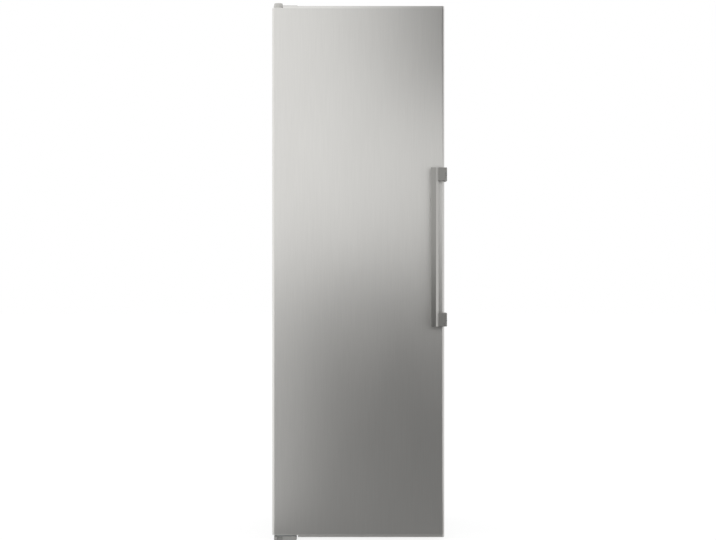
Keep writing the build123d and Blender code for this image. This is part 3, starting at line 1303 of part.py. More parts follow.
def compressor():
    """The sealed pump: a rounded shell with its welded seam, foot plate, pipe stubs and relay pad."""
    shell = shell_block(0, SHELL_BOTTOM, SHELL_TOP)
    shell = fillet(shell.edges().group_by(Axis.Z)[-1], COMPRESSOR_ROUND)
    seam = SHELL_BOTTOM + COMPRESSOR_HEIGHT / 2
    shell += shell_block(SEAM_WIDTH, seam - SEAM_HEIGHT / 2, seam + SEAM_HEIGHT / 2)
    x, y = MOUNT_X + FOOT_PLATE_MARGIN, MOUNT_Y + FOOT_PLATE_MARGIN
    plate = span(
        COMPRESSOR_X - x, COMPRESSOR_X + x, BAY_MIDDLE - y, BAY_MIDDLE + y, GROMMET_TOP, SHELL_BOTTOM
    )
    shell += fillet(plate.edges().filter_by(Axis.Z), FOOT_PLATE_CORNER)
    for mx, my in mount_places():
        shell -= rod_z(mx, my, GROMMET_NECK_RADIUS + PIPE_GAP, GROMMET_TOP, SHELL_BOTTOM)
    shell += rod_x(EVAPORATOR_TUBE_Y, SHELL_BOTTOM + SUCTION_RISE, STUB_RADIUS, COMPRESSOR_X, stub_x(1))
    shell += rod_x(
        BAY_MIDDLE + DISCHARGE_OFFSET, SHELL_BOTTOM + DISCHARGE_RISE, STUB_RADIUS, stub_x(-1), COMPRESSOR_X
    )
    pad = relay_pad()
    return shell + span(pad[0], COMPRESSOR_X, *pad[1:])


def relay_pad():
    """Left face, y range and z range of the pad that the terminal cover sits on."""
    x = COMPRESSOR_X - COMPRESSOR_WIDTH / 2 - RELAY_PAD_LENGTH
    y1 = BAY_MIDDLE - STUB_RADIUS
    z0 = SHELL_BOTTOM + RELAY_PAD_RISE
    return x, y1 - RELAY_PAD_WIDTH, y1, z0, z0 + RELAY_PAD_HEIGHT


def terminal_cover():
    """The plastic box over the compressor's relay, with the gland where the supply comes in."""
    x, y0, y1, z0, z1 = relay_pad()
    left, right = x - TERMINAL_DEPTH, x + TERMINAL_SEAT
    gap = PIPE_GAP
    wall = gap + TERMINAL_WALL
    box = span(left, right, y0 - wall, y1 + wall, z0 - wall, z1 + wall)
    box = fillet(box.edges().group_by(Axis.X)[0], TERMINAL_EDGE)
    box -= span(left + TERMINAL_WALL, right, y0 - gap, y1 + gap, z0 - gap, z1 + gap)
    gland_x, gland_z = x - TERMINAL_DEPTH / 2, z0 + GLAND_RISE
    gland_y0, gland_y1 = y1 + gap, y1 + wall + GLAND_LENGTH
    box += rod_y(gland_x, gland_z, GLAND_RADIUS, gland_y0, gland_y1)
    return box - rod_y(gland_x, gland_z, GLAND_BORE, gland_y0, gland_y1)


def evaporation_tray():
    """The open tray on the warm compressor where the defrost water dries off."""
    x, y = WATER_TRAY_WIDTH / 2, WATER_TRAY_DEPTH / 2
    top = SHELL_TOP + WATER_TRAY_HEIGHT
    w = WATER_TRAY_WALL
    outer = span(COMPRESSOR_X - x, COMPRESSOR_X + x, BAY_MIDDLE - y, BAY_MIDDLE + y, SHELL_TOP, top)
    outer = fillet(outer.edges().filter_by(Axis.Z), WATER_TRAY_CORNER)
    inner = span(
        COMPRESSOR_X - x + w, COMPRESSOR_X + x - w, BAY_MIDDLE - y + w, BAY_MIDDLE + y - w,
        SHELL_TOP + w, top,
    )
    return outer - fillet(inner.edges().filter_by(Axis.Z), WATER_TRAY_CORNER - w)


def drain_hose():
    """The short hose from the food space's drain down into the evaporation tray."""
    z0 = SHELL_TOP + WATER_TRAY_HEIGHT - HOSE_DIP
    z1 = STEP_Z - LINER
    return rod_z(HOSE_X, HOSE_Y, HOSE_RADIUS, z0, z1) - rod_z(HOSE_X, HOSE_Y, HOSE_BORE, z0, z1)


def suction_pipe():
    """From the evaporator straight down through the foam to the compressor's right."""
    y, z = EVAPORATOR_TUBE_Y, SHELL_BOTTOM + SUCTION_RISE
    points = [(SUCTION_X, y, EVAPORATOR_BOTTOM), (SUCTION_X, y, z), (stub_x(1), y, z)]
    return tube(points, PIPE_BEND, SUCTION_RADIUS)


def discharge_pipe():
    """From the compressor's left out to the foot of the condenser's riser."""
    y, z = BAY_MIDDLE + DISCHARGE_OFFSET, SHELL_BOTTOM + DISCHARGE_RISE
    points = [(stub_x(-1), y, z), (-RISER_X, y, z), (-RISER_X, CONDENSER_Y, z)]
    return tube(points + [(-RISER_X, CONDENSER_Y, RISER_START)], PIPE_BEND, DISCHARGE_RADIUS)


def drier_place():
    """Middle and top of the upright filter drier."""
    return CONDENSER_X, CABINET_DEPTH - 2 * DRIER_RADIUS, DOWN_END - DRIER_DROP


def liquid_pipe():
    """From the condenser's lower end to the top of the filter drier."""
    x, y, z = drier_place()
    turn = DOWN_END - DRIER_DROP / 2
    points = [(x, CONDENSER_Y, DOWN_END), (x, CONDENSER_Y, turn), (x, y, turn), (x, y, z)]
    return tube(points, PIPE_BEND, DISCHARGE_RADIUS)


def filter_drier():
    """The copper drier, with a cone at each end."""
    x, y, top = drier_place()
    body_top = top - DRIER_NECK
    body_bottom = body_top - DRIER_LENGTH
    body = rod_z(x, y, DRIER_RADIUS, body_bottom, body_top)
    cone = Cone(DRIER_RADIUS, DISCHARGE_RADIUS, DRIER_NECK)
    body += Pos(x, y, body_top + DRIER_NECK / 2) * cone
    return body + Pos(x, y, body_bottom - DRIER_NECK / 2) * Rot(180, 0, 0) * cone


def capillary():
    """The thin pipe from the drier up beside the suction pipe to the evaporator."""
    x, y, top = drier_place()
    low = top - 2 * DRIER_NECK - DRIER_LENGTH
    turn = low - 2 * PIPE_BEND
    up_x, up_y = SUCTION_X + CAPILLARY_OFFSET, EVAPORATOR_TUBE_Y
    points = [(x, y, low), (x, y, turn), (up_x, up_y, turn), (up_x, up_y, EVAPORATOR_BOTTOM)]
    return tube(points, PIPE_BEND, CAPILLARY_RADIUS)


def copper_pipework():
    return [suction_pipe(), discharge_pipe(), liquid_pipe(), filter_drier(), capillary()]


# Condenser


def run_level(number):
    """Height of a run of the condenser, counted from the top."""
    return CONDENSER_TOP - number * CONDENSER_PITCH


def condenser_tube():
    """The runs that wind down the back, with the riser and the lower end brazed to them."""
    y = CONDENSER_Y
    braze = run_level(RUN_COUNT) - CONDENSER_BEND - BRAZE_DROP
    points = [(-RISER_X, y, braze)]
    for number in range(RUN_COUNT + 1):
        z = run_level(number)
        side = 1 if number % 2 == 0 else -1
        start = -RISER_X if number == 0 else -side * CONDENSER_X
        points += [(start, y, z), (side * CONDENSER_X, y, z)]
    points.append((CONDENSER_X, y, braze))
    riser = rod_z(-RISER_X, y, DISCHARGE_RADIUS, RISER_START, braze)
    lower_end = rod_z(CONDENSER_X, y, DISCHARGE_RADIUS, DOWN_END, braze)
    return [tube(points, CONDENSER_BEND, DISCHARGE_RADIUS), riser, lower_end]


def condenser_wires():
    """Upright wires behind the runs that spread their heat."""
    y = CONDENSER_Y + DISCHARGE_RADIUS + WIRE_RADIUS + WIRE_GAP
    low, high = run_level(RUN_COUNT) - WIRE_OVERRUN, run_level(0) + WIRE_OVERRUN
    reach = CLIP_X - CLIP_WIDTH / 2 - WIRE_SIDE_GAP
    count = int(2 * reach / WIRE_PITCH) + 1
    left = -(count - 1) * WIRE_PITCH / 2
    return [rod_z(left + number * WIRE_PITCH, y, WIRE_RADIUS, low, high) for number in range(count)]


def condenser_clip(side, level, spacer):
    """A clip on the rear panel that holds a run, the upper ones with a knob against the wall."""
    half = CLIP_WIDTH / 2
    x = side * CLIP_X
    rear = CONDENSER_Y + CLIP_COVER
    clip = span(x - half, x + half, CABINET_DEPTH, rear, level - CLIP_HEIGHT / 2, level + CLIP_HEIGHT / 2)
    if spacer:
        clip += rod_y(x, level, SPACER_RADIUS, rear, CABINET_DEPTH + WALL_GAP)
    return clip - rod_x(CONDENSER_Y, level, DISCHARGE_RADIUS + PIN_GAP, x - half, x + half)


def condenser_clips():
    upper, lower = run_level(1), run_level(RUN_COUNT - 1)
    return [condenser_clip(side, upper, True) for side in (-1, 1)] + [
        condenser_clip(side, lower, False) for side in (-1, 1)
    ]


NODES = {
    "left_side_panel": lambda: side_panel(-1),
    "right_side_panel": lambda: side_panel(1),
    "top_panel": top_panel,
    "rear_panel": rear_panel,
    "compressor_bay_panel": bay_panel,
    "base_panel": base_panel,
    "front_crossbars": front_crossbars,
    "inner_liner": inner_liner,
    "hinge_reinforcement": reinforcement,
    "cabinet_foam": cabinet_foam,
    "shelf_glasses": shelf_glasses,
    "shelf_trims": shelf_trims,
    "pull_out_shelf_glass": pull_out_glass,
    "pull_out_shelf_trims": pull_out_trims,
    "humidity_slider": humidity_slider,
    "lower_crisper": lower_crisper,
    "upper_drawer": upper_drawer,
    "air_duct_cover": air_duct_cover,
    "fan_motor": fan_motor,
    "fan_impeller": fan_impeller,
    "evaporator": evaporator,
    "control_panel": control_panel,
    "lamp_cover": lamp_cover,
    "temperature_button": lambda: panel_button(-1),
    "fast_cool_button": lambda: panel_button(1),
    "door_skin": door_skin,
    "door_top_cap": door_top_cap,
    "door_bottom_cap": door_bottom_cap,
    "door_liner": door_liner,
    "door_foam": door_foam,
    "door_gasket": door_gasket,
    "magnet_strips": magnet_strips,
    "hinge_bushes": hinge_bushes,
    "handle_bar": handle_bar,
    "handle_brackets": handle_brackets,
    "handle_screws": handle_screws,
    "door_rack_upper": lambda: rack(RACK_FLOORS[0], RACK_HEIGHT, RACK_REACH),
    "door_rack_middle": lambda: rack(RACK_FLOORS[1], RACK_HEIGHT, RACK_REACH),
    "door_rack_lower": lambda: rack(RACK_FLOORS[2], RACK_HEIGHT, RACK_REACH),
    "bottle_rack": bottle_rack,
    "top_hinge_bracket": top_hinge_bracket,
    "top_hinge_cover": top_hinge_cover,
    "bottom_hinge_bracket": bottom_hinge_bracket,
    "bottom_hinge_cover": bottom_hinge_cover,
    "hinge_screws": hinge_screws,
    "compressor_tray": compressor_tray,
    "roller_axles": roller_axles,
    "left_rear_roller": lambda: rear_roller(-1),
    "right_rear_roller": lambda: rear_roller(1),
    "left_front_foot": lambda: front_foot(-1),
    "right_front_foot": lambda: front_foot(1),
    "compressor": compressor,
    "compressor_grommets": compressor_grommets,
    "terminal_cover": terminal_cover,
    "evaporation_tray": evaporation_tray,
    "drain_hose": drain_hose,
    "copper_pipework": copper_pipework,
    "condenser_tube": condenser_tube,
    "condenser_wires": condenser_wires,
    "condenser_clips": condenser_clips,
}

os.makedirs("parts", exist_ok=True)
for name, make in NODES.items():
    made = make()
    solids = made if isinstance(made, list) else made.solids()
    export_step(Compound([ROW_SHIFT * solid for solid in solids]), "parts/" + name + ".step")
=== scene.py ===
import json
from math import atan2, pi, radians

import bmesh
import bpy
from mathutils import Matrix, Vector

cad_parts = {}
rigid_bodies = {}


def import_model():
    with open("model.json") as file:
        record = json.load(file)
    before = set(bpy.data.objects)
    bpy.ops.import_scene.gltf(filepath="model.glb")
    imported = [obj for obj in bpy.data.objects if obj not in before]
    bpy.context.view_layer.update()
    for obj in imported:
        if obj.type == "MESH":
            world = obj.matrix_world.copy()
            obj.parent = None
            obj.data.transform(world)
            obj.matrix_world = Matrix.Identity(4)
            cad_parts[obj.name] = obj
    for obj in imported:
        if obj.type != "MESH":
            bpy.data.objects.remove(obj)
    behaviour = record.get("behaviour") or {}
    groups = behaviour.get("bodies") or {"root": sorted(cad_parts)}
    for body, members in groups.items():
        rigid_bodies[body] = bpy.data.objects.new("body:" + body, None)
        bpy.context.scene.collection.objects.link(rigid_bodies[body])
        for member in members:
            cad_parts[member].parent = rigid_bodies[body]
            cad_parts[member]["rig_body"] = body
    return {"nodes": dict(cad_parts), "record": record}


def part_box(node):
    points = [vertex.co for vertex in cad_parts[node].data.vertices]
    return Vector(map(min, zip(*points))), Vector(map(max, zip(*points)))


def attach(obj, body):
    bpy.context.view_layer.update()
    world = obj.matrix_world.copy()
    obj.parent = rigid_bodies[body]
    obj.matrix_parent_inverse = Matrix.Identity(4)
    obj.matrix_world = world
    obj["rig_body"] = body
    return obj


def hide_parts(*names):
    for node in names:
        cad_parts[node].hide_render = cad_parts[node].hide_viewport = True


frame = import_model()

NODES = frame["nodes"]
SLOTS = {entry["node"]: entry["material_slot"] for entry in frame["record"]["subparts"]}
MM = 0.001
MERGED = 0.001 * MM  # corners of a solid's triangles that are nearer than this are one corner
SAME_PLACE = 0.01 * MM  # places that are nearer than this are the same place
EASED_ANGLE = radians(40)  # edges that are sharper than this are rounded
FLAT_ANGLE = radians(0.2)  # triangles that lie flatter than this are one face
WALL_FACING = 0.9  # share of a face's normal along an axis from which on it faces that way
NOISE_SPAN = (0.3, 0.7)  # where nearly all of a noise lies
STEEL_ROUGHNESS = 0.401  # as far as the belt's scratches spread a reflection
STEEL_BRUSHED = 0.25  # and how much further they spread it across than along

bl_info = {
    "name": "Single-door refrigerator",
    "version": (1, 0, 0),
    "blender": (4, 5, 0),
    "location": "3D View > Sidebar > Refrigerator",
    "description": "Dresses the refrigerator's solids with finished pieces, materials and a studio",
    "category": "Object",
}


def linear(text):
    """Turns an sRGB hex colour into linear red, green and blue."""
    shares = [int(text[i : i + 2], 16) / 255 for i in (1, 3, 5)]
    return tuple(s / 12.92 if s <= 0.04045 else ((s + 0.055) / 1.055) ** 2.4 for s in shares)


def colour(label, text, default):
    return bpy.props.FloatVectorProperty(
        name=label, description=text, subtype="COLOR", size=3, min=0, max=1, default=linear(default)
    )


def length(label, text, millimetres):
    return bpy.props.FloatProperty(
        name=label, description=text, subtype="DISTANCE", unit="LENGTH", min=0,
        default=millimetres * MM,
    )


# Settings


class FridgeColours(bpy.types.PropertyGroup):
    steel: colour("Steel", "Brushed stainless steel of the door", "#CECDCA")
    handle: colour("Handle", "Dark anodised front of the handle and its brackets", "#9B9A97")
    # The handle body's tone is lighter than the front's as painted light, which lightens the bar's
    # reflection in the door.
    handle_body: colour("Handle body", "Natural aluminium of the handle's flank", "#B6B5B2")
    lacquer: colour("Lacquer", "Silver lacquer on the door's end caps", "#D6D5D2")
    moulding: colour("Grey moulding", "Upper hinge cover and keys", "#C9C8C4")
    # The cup's darker grey is painted shade: the same moulding, darkened where it stands in shadow
    # by the floor.
    cup: colour("Hinge cup", "Cup under the lower hinge", "#9E9E9B")
    paint: colour("Silver paint", "Sides and top of the cabinet", "#A9ABAB")
    zinc: colour("Zinc", "Galvanised sheet of the back, the bay and the hinges", "#B4B7B8")
    screw: colour("Screws", "Zinc-plated screws and axles", "#C6C7C7")
    liner: colour("Liner", "White liner of the cabinet and the door", "#E8EAEA")
    moulded_white: colour("White moulding", "Trims, duct cover and control panel", "#E2E4E4")
    foam: colour("Foam", "Poured insulation", "#E6D79A")
    glass: colour("Glass", "Tint of the shelves' thick glass", "#F4FAF7")
    clear: colour("Clear plastic", "Racks and drawers", "#FAFCFC")
    gasket: colour("Gasket", "Soft vinyl of the door seal", "#C3C3C0")
    black: colour("Black", "Black plastic, rubber and enamel", "#1B1B1D")
    copper: colour("Copper", "Refrigerant pipes", "#C98562")


class FridgeSizes(bpy.types.PropertyGroup):
    door_edge: length("Door edge", "Radius of the door's rolled upright edges", 9)
    door_sheet: length("Door sheet", "Thickness of the stainless sheet", 0.8)
    door_fold: length("Door fold", "Width of the fold behind each side of the door", 10)
    bar_flank: length("Bar flank", "Width of the sloping flank on the handle bar", 8.7)
    bar_edge: length("Bar edge", "Radius of the handle bar's long edges", 1.0)
    bracket_arm: length("Bracket arm", "Depth of the solid bracket's arm", 18)
    bracket_corner: length("Bracket corner", "Rounding where a bracket turns back", 4.5)
    bracket_edge: length("Bracket edge", "Eased edges of the handle brackets", 1.6)
    cup_drop: length("Cup drop", "How far the lower hinge's cup reaches below its solid", 4.8)
    strip_height: length("Strip height", "How far the handle's front strip stands out", 0.3)
    sheet_edge: length("Sheet edge", "Eased edges of folded and cut sheet metal", 0.35)
    fine_edge: length("Fine edge", "Eased edges of the smallest mouldings", 0.3)
    moulded_edge: length("Moulded edge", "Eased edges of small mouldings", 0.5)
    liner_edge: length("Liner edge", "Soft edges of the door's vacuum-formed liner", 1.2)
    tub_edge: length("Tub edge", "Soft edges of the cabinet's vacuum-formed liner", 0.8)
    weld_edge: length("Weld edge", "Rounded edges of the compressor's welded shell", 0.8)
    clip_edge: length("Clip edge", "Rounded edges of the condenser's clips", 0.6)
    glass_edge: length("Glass edge", "Ground chamfer round each shelf glass", 0.6)
    trim_edge: length("Trim edge", "Rounded edges of the shelf trims", 1.0)
    swage_margin: length("Swage margin", "Flat border round each pressed field of the back", 55)
    swage_height: length("Swage height", "How far the pressed fields of the back stand out", 2.5)
    rack_band: length("Rack band", "Height of the aluminium band along each door rack", 14)
    rack_rib_pitch: length("Rack rib pitch", "Spacing of the ribs on the floor of a rack", 22)
    thread_pitch: length("Thread pitch", "Spacing of the thread on the front feet", 1.6)


class FridgeStudio(bpy.types.PropertyGroup):
    distance: length("Camera distance", "Camera in front of the door's face", 6000)
    view_width: length("View width", "Width of the picture at the door's face", 2472)
    camera_side: length("Camera side", "Camera to the left of the door's middle", 0.85)
    camera_height: length("Camera height", "Camera above the floor", 937)


# Shader nodes


def add(tree, kind, inputs=None, **settings):
    """Adds a shader node of a kind with its settings; an input is a value, or a socket or node to
    link from."""
    made = tree.nodes.new("ShaderNode" + kind)
    for name, value in settings.items():
        setattr(made, name, value)
    for name, value in (inputs or {}).items():
        if isinstance(value, bpy.types.Node):
            value = value.outputs[0]
        if isinstance(value, bpy.types.NodeSocket):
            tree.links.new(value, made.inputs[name])
        else:
            made.inputs[name].default_value = value
    return made


def rgba(rgb, factor=1.0):
    """A colour for a socket, made darker or lighter by a factor."""
    return (*[min(1.0, channel * factor) for channel in rgb], 1.0)


WHITE = rgba(linear("#FFFFFF"))


def new_material(name, build):
    """A material whose shader is what build adds to its node tree."""
    made = bpy.data.materials.new(name)
    made.use_nodes = True
    made.node_tree.nodes.clear()
    add(made.node_tree, "OutputMaterial", {"Surface": build(made.node_tree)})
    return made


# Materials


def surface(name, rgb, rough, tone, sheen, relief, brushed=0.0, **sockets):
    """An opaque finish. Its tone, sheen and relief each follow a noise, given by the size of its
    blobs in millimetres, the same all round or along x, y and z, and by how far it goes: a share
    of the colour, a step of roughness and a depth in millimetres."""

    def build(tree):
        place = add(tree, "TexCoord").outputs["Object"]
        noises = dict.fromkeys((tone[0], sheen[0], relief[0]))
        for blobs in noises:
            around = blobs if isinstance(blobs, tuple) else (blobs, blobs, blobs)
            scale = tuple(1 / (size * MM) for size in around)
            mapped = add(tree, "Mapping", {"Vector": place, "Scale": scale})
            noise = add(tree, "TexNoise", {"Vector": mapped, "Scale": 1.0})
            noises[blobs] = noise.outputs["Fac"]
        ramp = add(tree, "ValToRGB", {"Fac": noises[tone[0]]})
        for stop, position, side in zip(ramp.color_ramp.elements, NOISE_SPAN, (-1, 1)):
            stop.position, stop.color = position, rgba(rgb, 1 + side * tone[1])
        spread = {
            "Value": noises[sheen[0]],
            "From Min": NOISE_SPAN[0], "From Max": NOISE_SPAN[1],
            "To Min": rough - sheen[1], "To Max": rough + sheen[1],
        }
        bump = {"Height": noises[relief[0]], "Distance": relief[1] * MM}
        inputs = {
            "Base Color": ramp.outputs["Color"],
            "Roughness": add(tree, "MapRange", spread),
            "Normal": add(tree, "Bump", bump),
            **{name.replace("_", " "): value for name, value in sockets.items()},
        }
        if brushed:
            inputs["Anisotropic"] = brushed
            inputs["Tangent"] = add(tree, "Tangent", direction_type="RADIAL", axis="Z")
        return add(tree, "BsdfPrincipled", inputs)

    return new_material(name, build)


def galvanised(name, rgb):
    """Sheet dipped in molten zinc: flat crystals of 9 mm, each with its own tone and sheen."""

    def build(tree):
        place = add(tree, "TexCoord").outputs["Object"]
        size = {"Vector": place, "Scale": 1 / (9 * MM)}
        cells = add(tree, "TexVoronoi", size, feature="F1").outputs["Color"]
        shade = add(tree, "SeparateColor", {"Color": cells}).outputs["Red"]
        ramp = add(tree, "ValToRGB", {"Fac": shade})
        for stop, position, share in zip(ramp.color_ramp.elements, (0.1, 0.9), (0.91, 1.09)):
            stop.position, stop.color = position, rgba(rgb, share)
        rough = add(tree, "MapRange", {"Value": shade, "To Min": 0.4, "To Max": 0.52})
        inputs = {"Base Color": ramp.outputs["Color"], "Metallic": 0.85, "Roughness": rough}
        return add(tree, "BsdfPrincipled", inputs)

    return new_material(name, build)


def clear(name, rgb, ior, rough, ripple):
    """Clear glass or plastic whose faces ripple a little, in waves of ripple millimetres."""

    def build(tree):
        place = add(tree, "TexCoord").outputs["Object"]
        size = {"Vector": place, "Scale": 1 / (ripple * MM), "Detail": 1.0}
        waves = add(tree, "TexNoise", size).outputs["Fac"]
        inputs = {
            "Base Color": rgba(rgb),
            "Transmission Weight": 1.0,
            "IOR": ior,
            "Roughness": rough,
            "Normal": add(tree, "Bump", {"Height": waves, "Distance": 0.02 * MM}),
        }
        return add(tree, "BsdfPrincipled", inputs)

    return new_material(name, build)


def all_materials(colours):
    """Every finish by the name of the record's slot that it belongs to."""
    plastic = {"IOR": 1.53}
    return {
        # Cold-rolled sheet, brushed upright by a belt: soft reflections and hair-fine lines.
        # The belt's scratches are 0.1 mm wide; they are drawn 0.8 mm wide, to show in a close view.
        "brushed_stainless": surface(
            "brushed_stainless_steel", colours.steel, STEEL_ROUGHNESS, ((0.8, 0.8, 120), 0.03),
            ((160, 160, 420), 0.01), ((0.8, 0.8, 120), 0.004), STEEL_BRUSHED, Metallic=1.0,
        ),
        # Extruded, brushed along its length and anodised dark: a narrow sheen and no sharp mirror.
        "anodised_bar": surface(
            "anodised_aluminium", colours.handle, 0.36, ((0.5, 0.5, 60), 0.05),
            ((0.5, 0.5, 60), 0.03), ((0.5, 0.5, 60), 0.006), 0.3, Metallic=1.0,
        ),
        # Cast, then shot-blasted and anodised like the bar: a duller, broader sheen.
        "bracket": surface(
            "blasted_cast_aluminium", colours.handle, 0.52, (1.0, 0.05), (1.0, 0.04),
            (0.8, 0.01), Metallic=1.0,
        ),
        # The same extrusion in a lighter tone on the handle's flank and sides: painted light, which
        # stands in for light on the flank and lightens the bar's dark reflection in the door beside
        # it.
        "handle_body": surface(
            "natural_anodised_aluminium", colours.handle_body, 0.34, ((0.5, 0.5, 60), 0.04),
            ((0.5, 0.5, 60), 0.03), ((0.5, 0.5, 60), 0.005), 0.3, Metallic=1.0,
        ),
        # Moulded in grey and etched: an even, matt grey that hardly mirrors.
        "grey_moulding": surface(
            "etched_grey_abs", colours.moulding, 0.42, (90, 0.02), (0.7, 0.04),
            (0.7, 0.012), **plastic,
        ),
        # The same moulding in a darker grey as painted shade, for the cup that stands in the shadow
        # next to the floor.
        "grey_cup_painted_shade": surface(
            "etched_dark_grey_abs", colours.cup, 0.5, (90, 0.02), (0.7, 0.04),
            (0.7, 0.012), **plastic,
        ),
        # Moulded, then sprayed with silver lacquer: the tone of the steel beside it, but softer.
        "silver_lacquer": surface(
            "silver_lacquered_abs", colours.lacquer, 0.36, (1.2, 0.03), (30, 0.02),
            (0.8, 0.006), Metallic=0.9,
        ),
        # Polyester powder over zinc: a satin skin with metal flakes and a shallow orange peel.
        "silver_paint": surface(
            "silver_powder_coat", colours.paint, 0.42, (1.4, 0.06), (1.4, 0.05),
            (2.2, 0.015), Metallic=0.35,
        ),
        # Dipped in molten zinc: a dull grey metal whose crystals each catch the light in their way.
        "zinc_steel": galvanised("galvanised_steel", colours.zinc),
        # Cold-headed and zinc-plated: bright, with the faint mottle of the plating bath.
        "screw_steel": surface(
            "zinc_plated_steel", colours.screw, 0.3, (1.5, 0.05), (1.5, 0.05),
            (2.2, 0.004), Metallic=1.0,
        ),
        # Vacuum-formed from sheet: a glossy white with a faint ripple where it was drawn.
        "white_liner": surface(
            "vacuum_formed_polystyrene", colours.liner, 0.24, (90, 0.01), (3, 0.04),
            (3, 0.02), Coat_Weight=0.2, Coat_Roughness=0.08, **plastic,
        ),
        # Injection-moulded and left smooth: white with a soft, slightly broken highlight.
        "white_moulding": surface(
            "moulded_white_abs", colours.moulded_white, 0.34, (90, 0.01), (0.9, 0.04),
            (0.9, 0.01), **plastic,
        ),
        # Poured and risen: a dull, open skin with bubbles about a millimetre across.
        "poured_foam": surface(
            "poured_polyurethane_foam", colours.foam, 0.85, (90, 0.1), (1.2, 0.04),
            (1.2, 0.4), **plastic,
        ),
        # Floated and tempered: clear, with the long waves of the tempering rollers.
        "tempered_glass": clear("tempered_float_glass", colours.glass, 1.52, 0.0, 60),
        # Injection-moulded clear: glass-like, with a slight unevenness from the mould.
        "clear_plastic": clear("moulded_clear_polystyrene", colours.clear, 1.57, 0.04, 25),
        # Moulded in milky plastic: light spreads inside it, so its edges look soft. The lamp behind
        # it glows faintly, which shows only where the door is open.
        "lamp_diffuser": surface(
            "moulded_opal_acrylic", linear("#F4F3EC"), 0.3, (90, 0.01), (0.6, 0.04),
            (0.6, 0.01), Subsurface_Weight=0.3, Subsurface_Scale=2 * MM,
            Emission_Color=rgba(linear("#FFF8EC")), Emission_Strength=2.5, **plastic,
        ),
        # Extruded soft vinyl: dull and slightly waxy.
        "gasket_vinyl": surface(
            "extruded_soft_vinyl", colours.gasket, 0.55, (90, 0.03), (1.1, 0.04),
            (1.1, 0.02), Subsurface_Weight=0.1, Subsurface_Scale=2 * MM, **plastic,
        ),
        # Calendered rubber full of ferrite powder: a dull brown-black.
        "magnet_rubber": surface(
            "calendered_ferrite_rubber", linear("#2B2624"), 0.7, (90, 0.06),
            (0.8, 0.04), (0.8, 0.03), **plastic,
        ),
        # Moulded natural nylon: cream, a little waxy.
        "bearing_nylon": surface(
            "moulded_nylon", linear("#E4E3D8"), 0.38, (90, 0.02), (0.7, 0.04),
            (0.7, 0.012), **plastic,
        ),
        # Stoved enamel over steel: deep black with a wet highlight and a little orange peel.
        "black_enamel": surface(
            "stoved_black_enamel", colours.black, 0.3, (90, 0.08), (1.6, 0.04),
            (1.6, 0.02), Coat_Weight=0.3, Coat_Roughness=0.08, **plastic,
        ),
        # Injection-moulded and etched: black with a grey bloom in its highlights.
        "black_plastic": surface(
            "etched_black_polypropylene", colours.black, 0.46, (90, 0.06), (0.8, 0.04),
            (0.8, 0.02), **plastic,
        ),
        # Press-moulded rubber: nearly no highlight.
        "black_rubber": surface(
            "pressed_black_rubber", colours.black, 0.78, (90, 0.08), (0.6, 0.04),
            (0.6, 0.03), **plastic,
        ),
        # Drawn tube, bent and brazed: warm metal with darker, heat-tinted patches.
        "copper_pipe": surface(
            "drawn_copper", colours.copper, 0.32, (9, 0.1), (9, 0.05),
            (2.2, 0.006), Metallic=1.0,
        ),
        # Cold-rolled sheet: light, with broad soft reflections.
        "bare_aluminium": surface(
            "rolled_aluminium", linear("#CFD0D0"), 0.36, (14, 0.04), (14, 0.05),
            (2.2, 0.006), Metallic=1.0,
        ),
    }


def finish(slot):
    """The material of a slot, made by the operator that adds the materials."""
    return bpy.data.materials[bpy.context.scene["fridge_finishes"][slot]]


# Modelling by hand


def deselect():
    bpy.ops.object.select_all(action="DESELECT")


def select(piece):
    deselect()
    piece.select_set(True)
    bpy.context.view_layer.objects.active = piece


def edit(piece):
    select(piece)
    bpy.ops.object.mode_set(mode="EDIT")


def leave():
    bpy.ops.object.mode_set(mode="OBJECT")


def apply_place():
    bpy.ops.object.transform_apply(location=True, rotation=True, scale=True)


def named(name):
    """The object that was just added, with a name for it and its mesh."""
    made = bpy.context.active_object
    made.name = made.data.name = name
    return made


def extrude(step):
    """In edit mode, extrudes what is selected by a step."""
    bpy.ops.mesh.extrude_region_move(TRANSFORM_OT_translate={"value": step})


def face_outwards():
    """In edit mode, turns all faces outwards."""
    bpy.ops.mesh.select_all(action="SELECT")
    bpy.ops.mesh.normals_make_consistent(inside=False)


def block(name, low, high):
    """A block between two corners, with its place in its mesh."""
    deselect()
    low, high = Vector(low), Vector(high)
    bpy.ops.mesh.primitive_cube_add(size=1, location=(low + high) / 2, scale=high - low)
    made = named(name)
    apply_place()
    return made


def turned(name, start, axis, profile, sides=32):
    """A turned piece: its profile's points are a radius and a distance from start along an axis."""
    along = Vector([1.0 if number == axis else 0.0 for number in range(3)])
    turn = {0: (0, pi / 2, 0), 1: (-pi / 2, 0, 0), 2: (0, 0, 0)}[axis]
    radius, distance = profile[0]
    deselect()
    bpy.ops.mesh.primitive_circle_add(
        vertices=sides, radius=radius, fill_type="NGON", rotation=turn,
        location=Vector(start) + along * distance,
    )
    made = named(name)
    apply_place()
    edit(made)
    for next_radius, next_distance in profile[1:]:
        extrude(along * (next_distance - distance))
        share = next_radius / radius
        bpy.ops.transform.resize(
            value=[1.0 if number == axis else share for number in range(3)],
            center_override=Vector(start) + along * next_distance,
        )
        radius, distance = next_radius, next_distance
    face_outwards()
    leave()
    return made


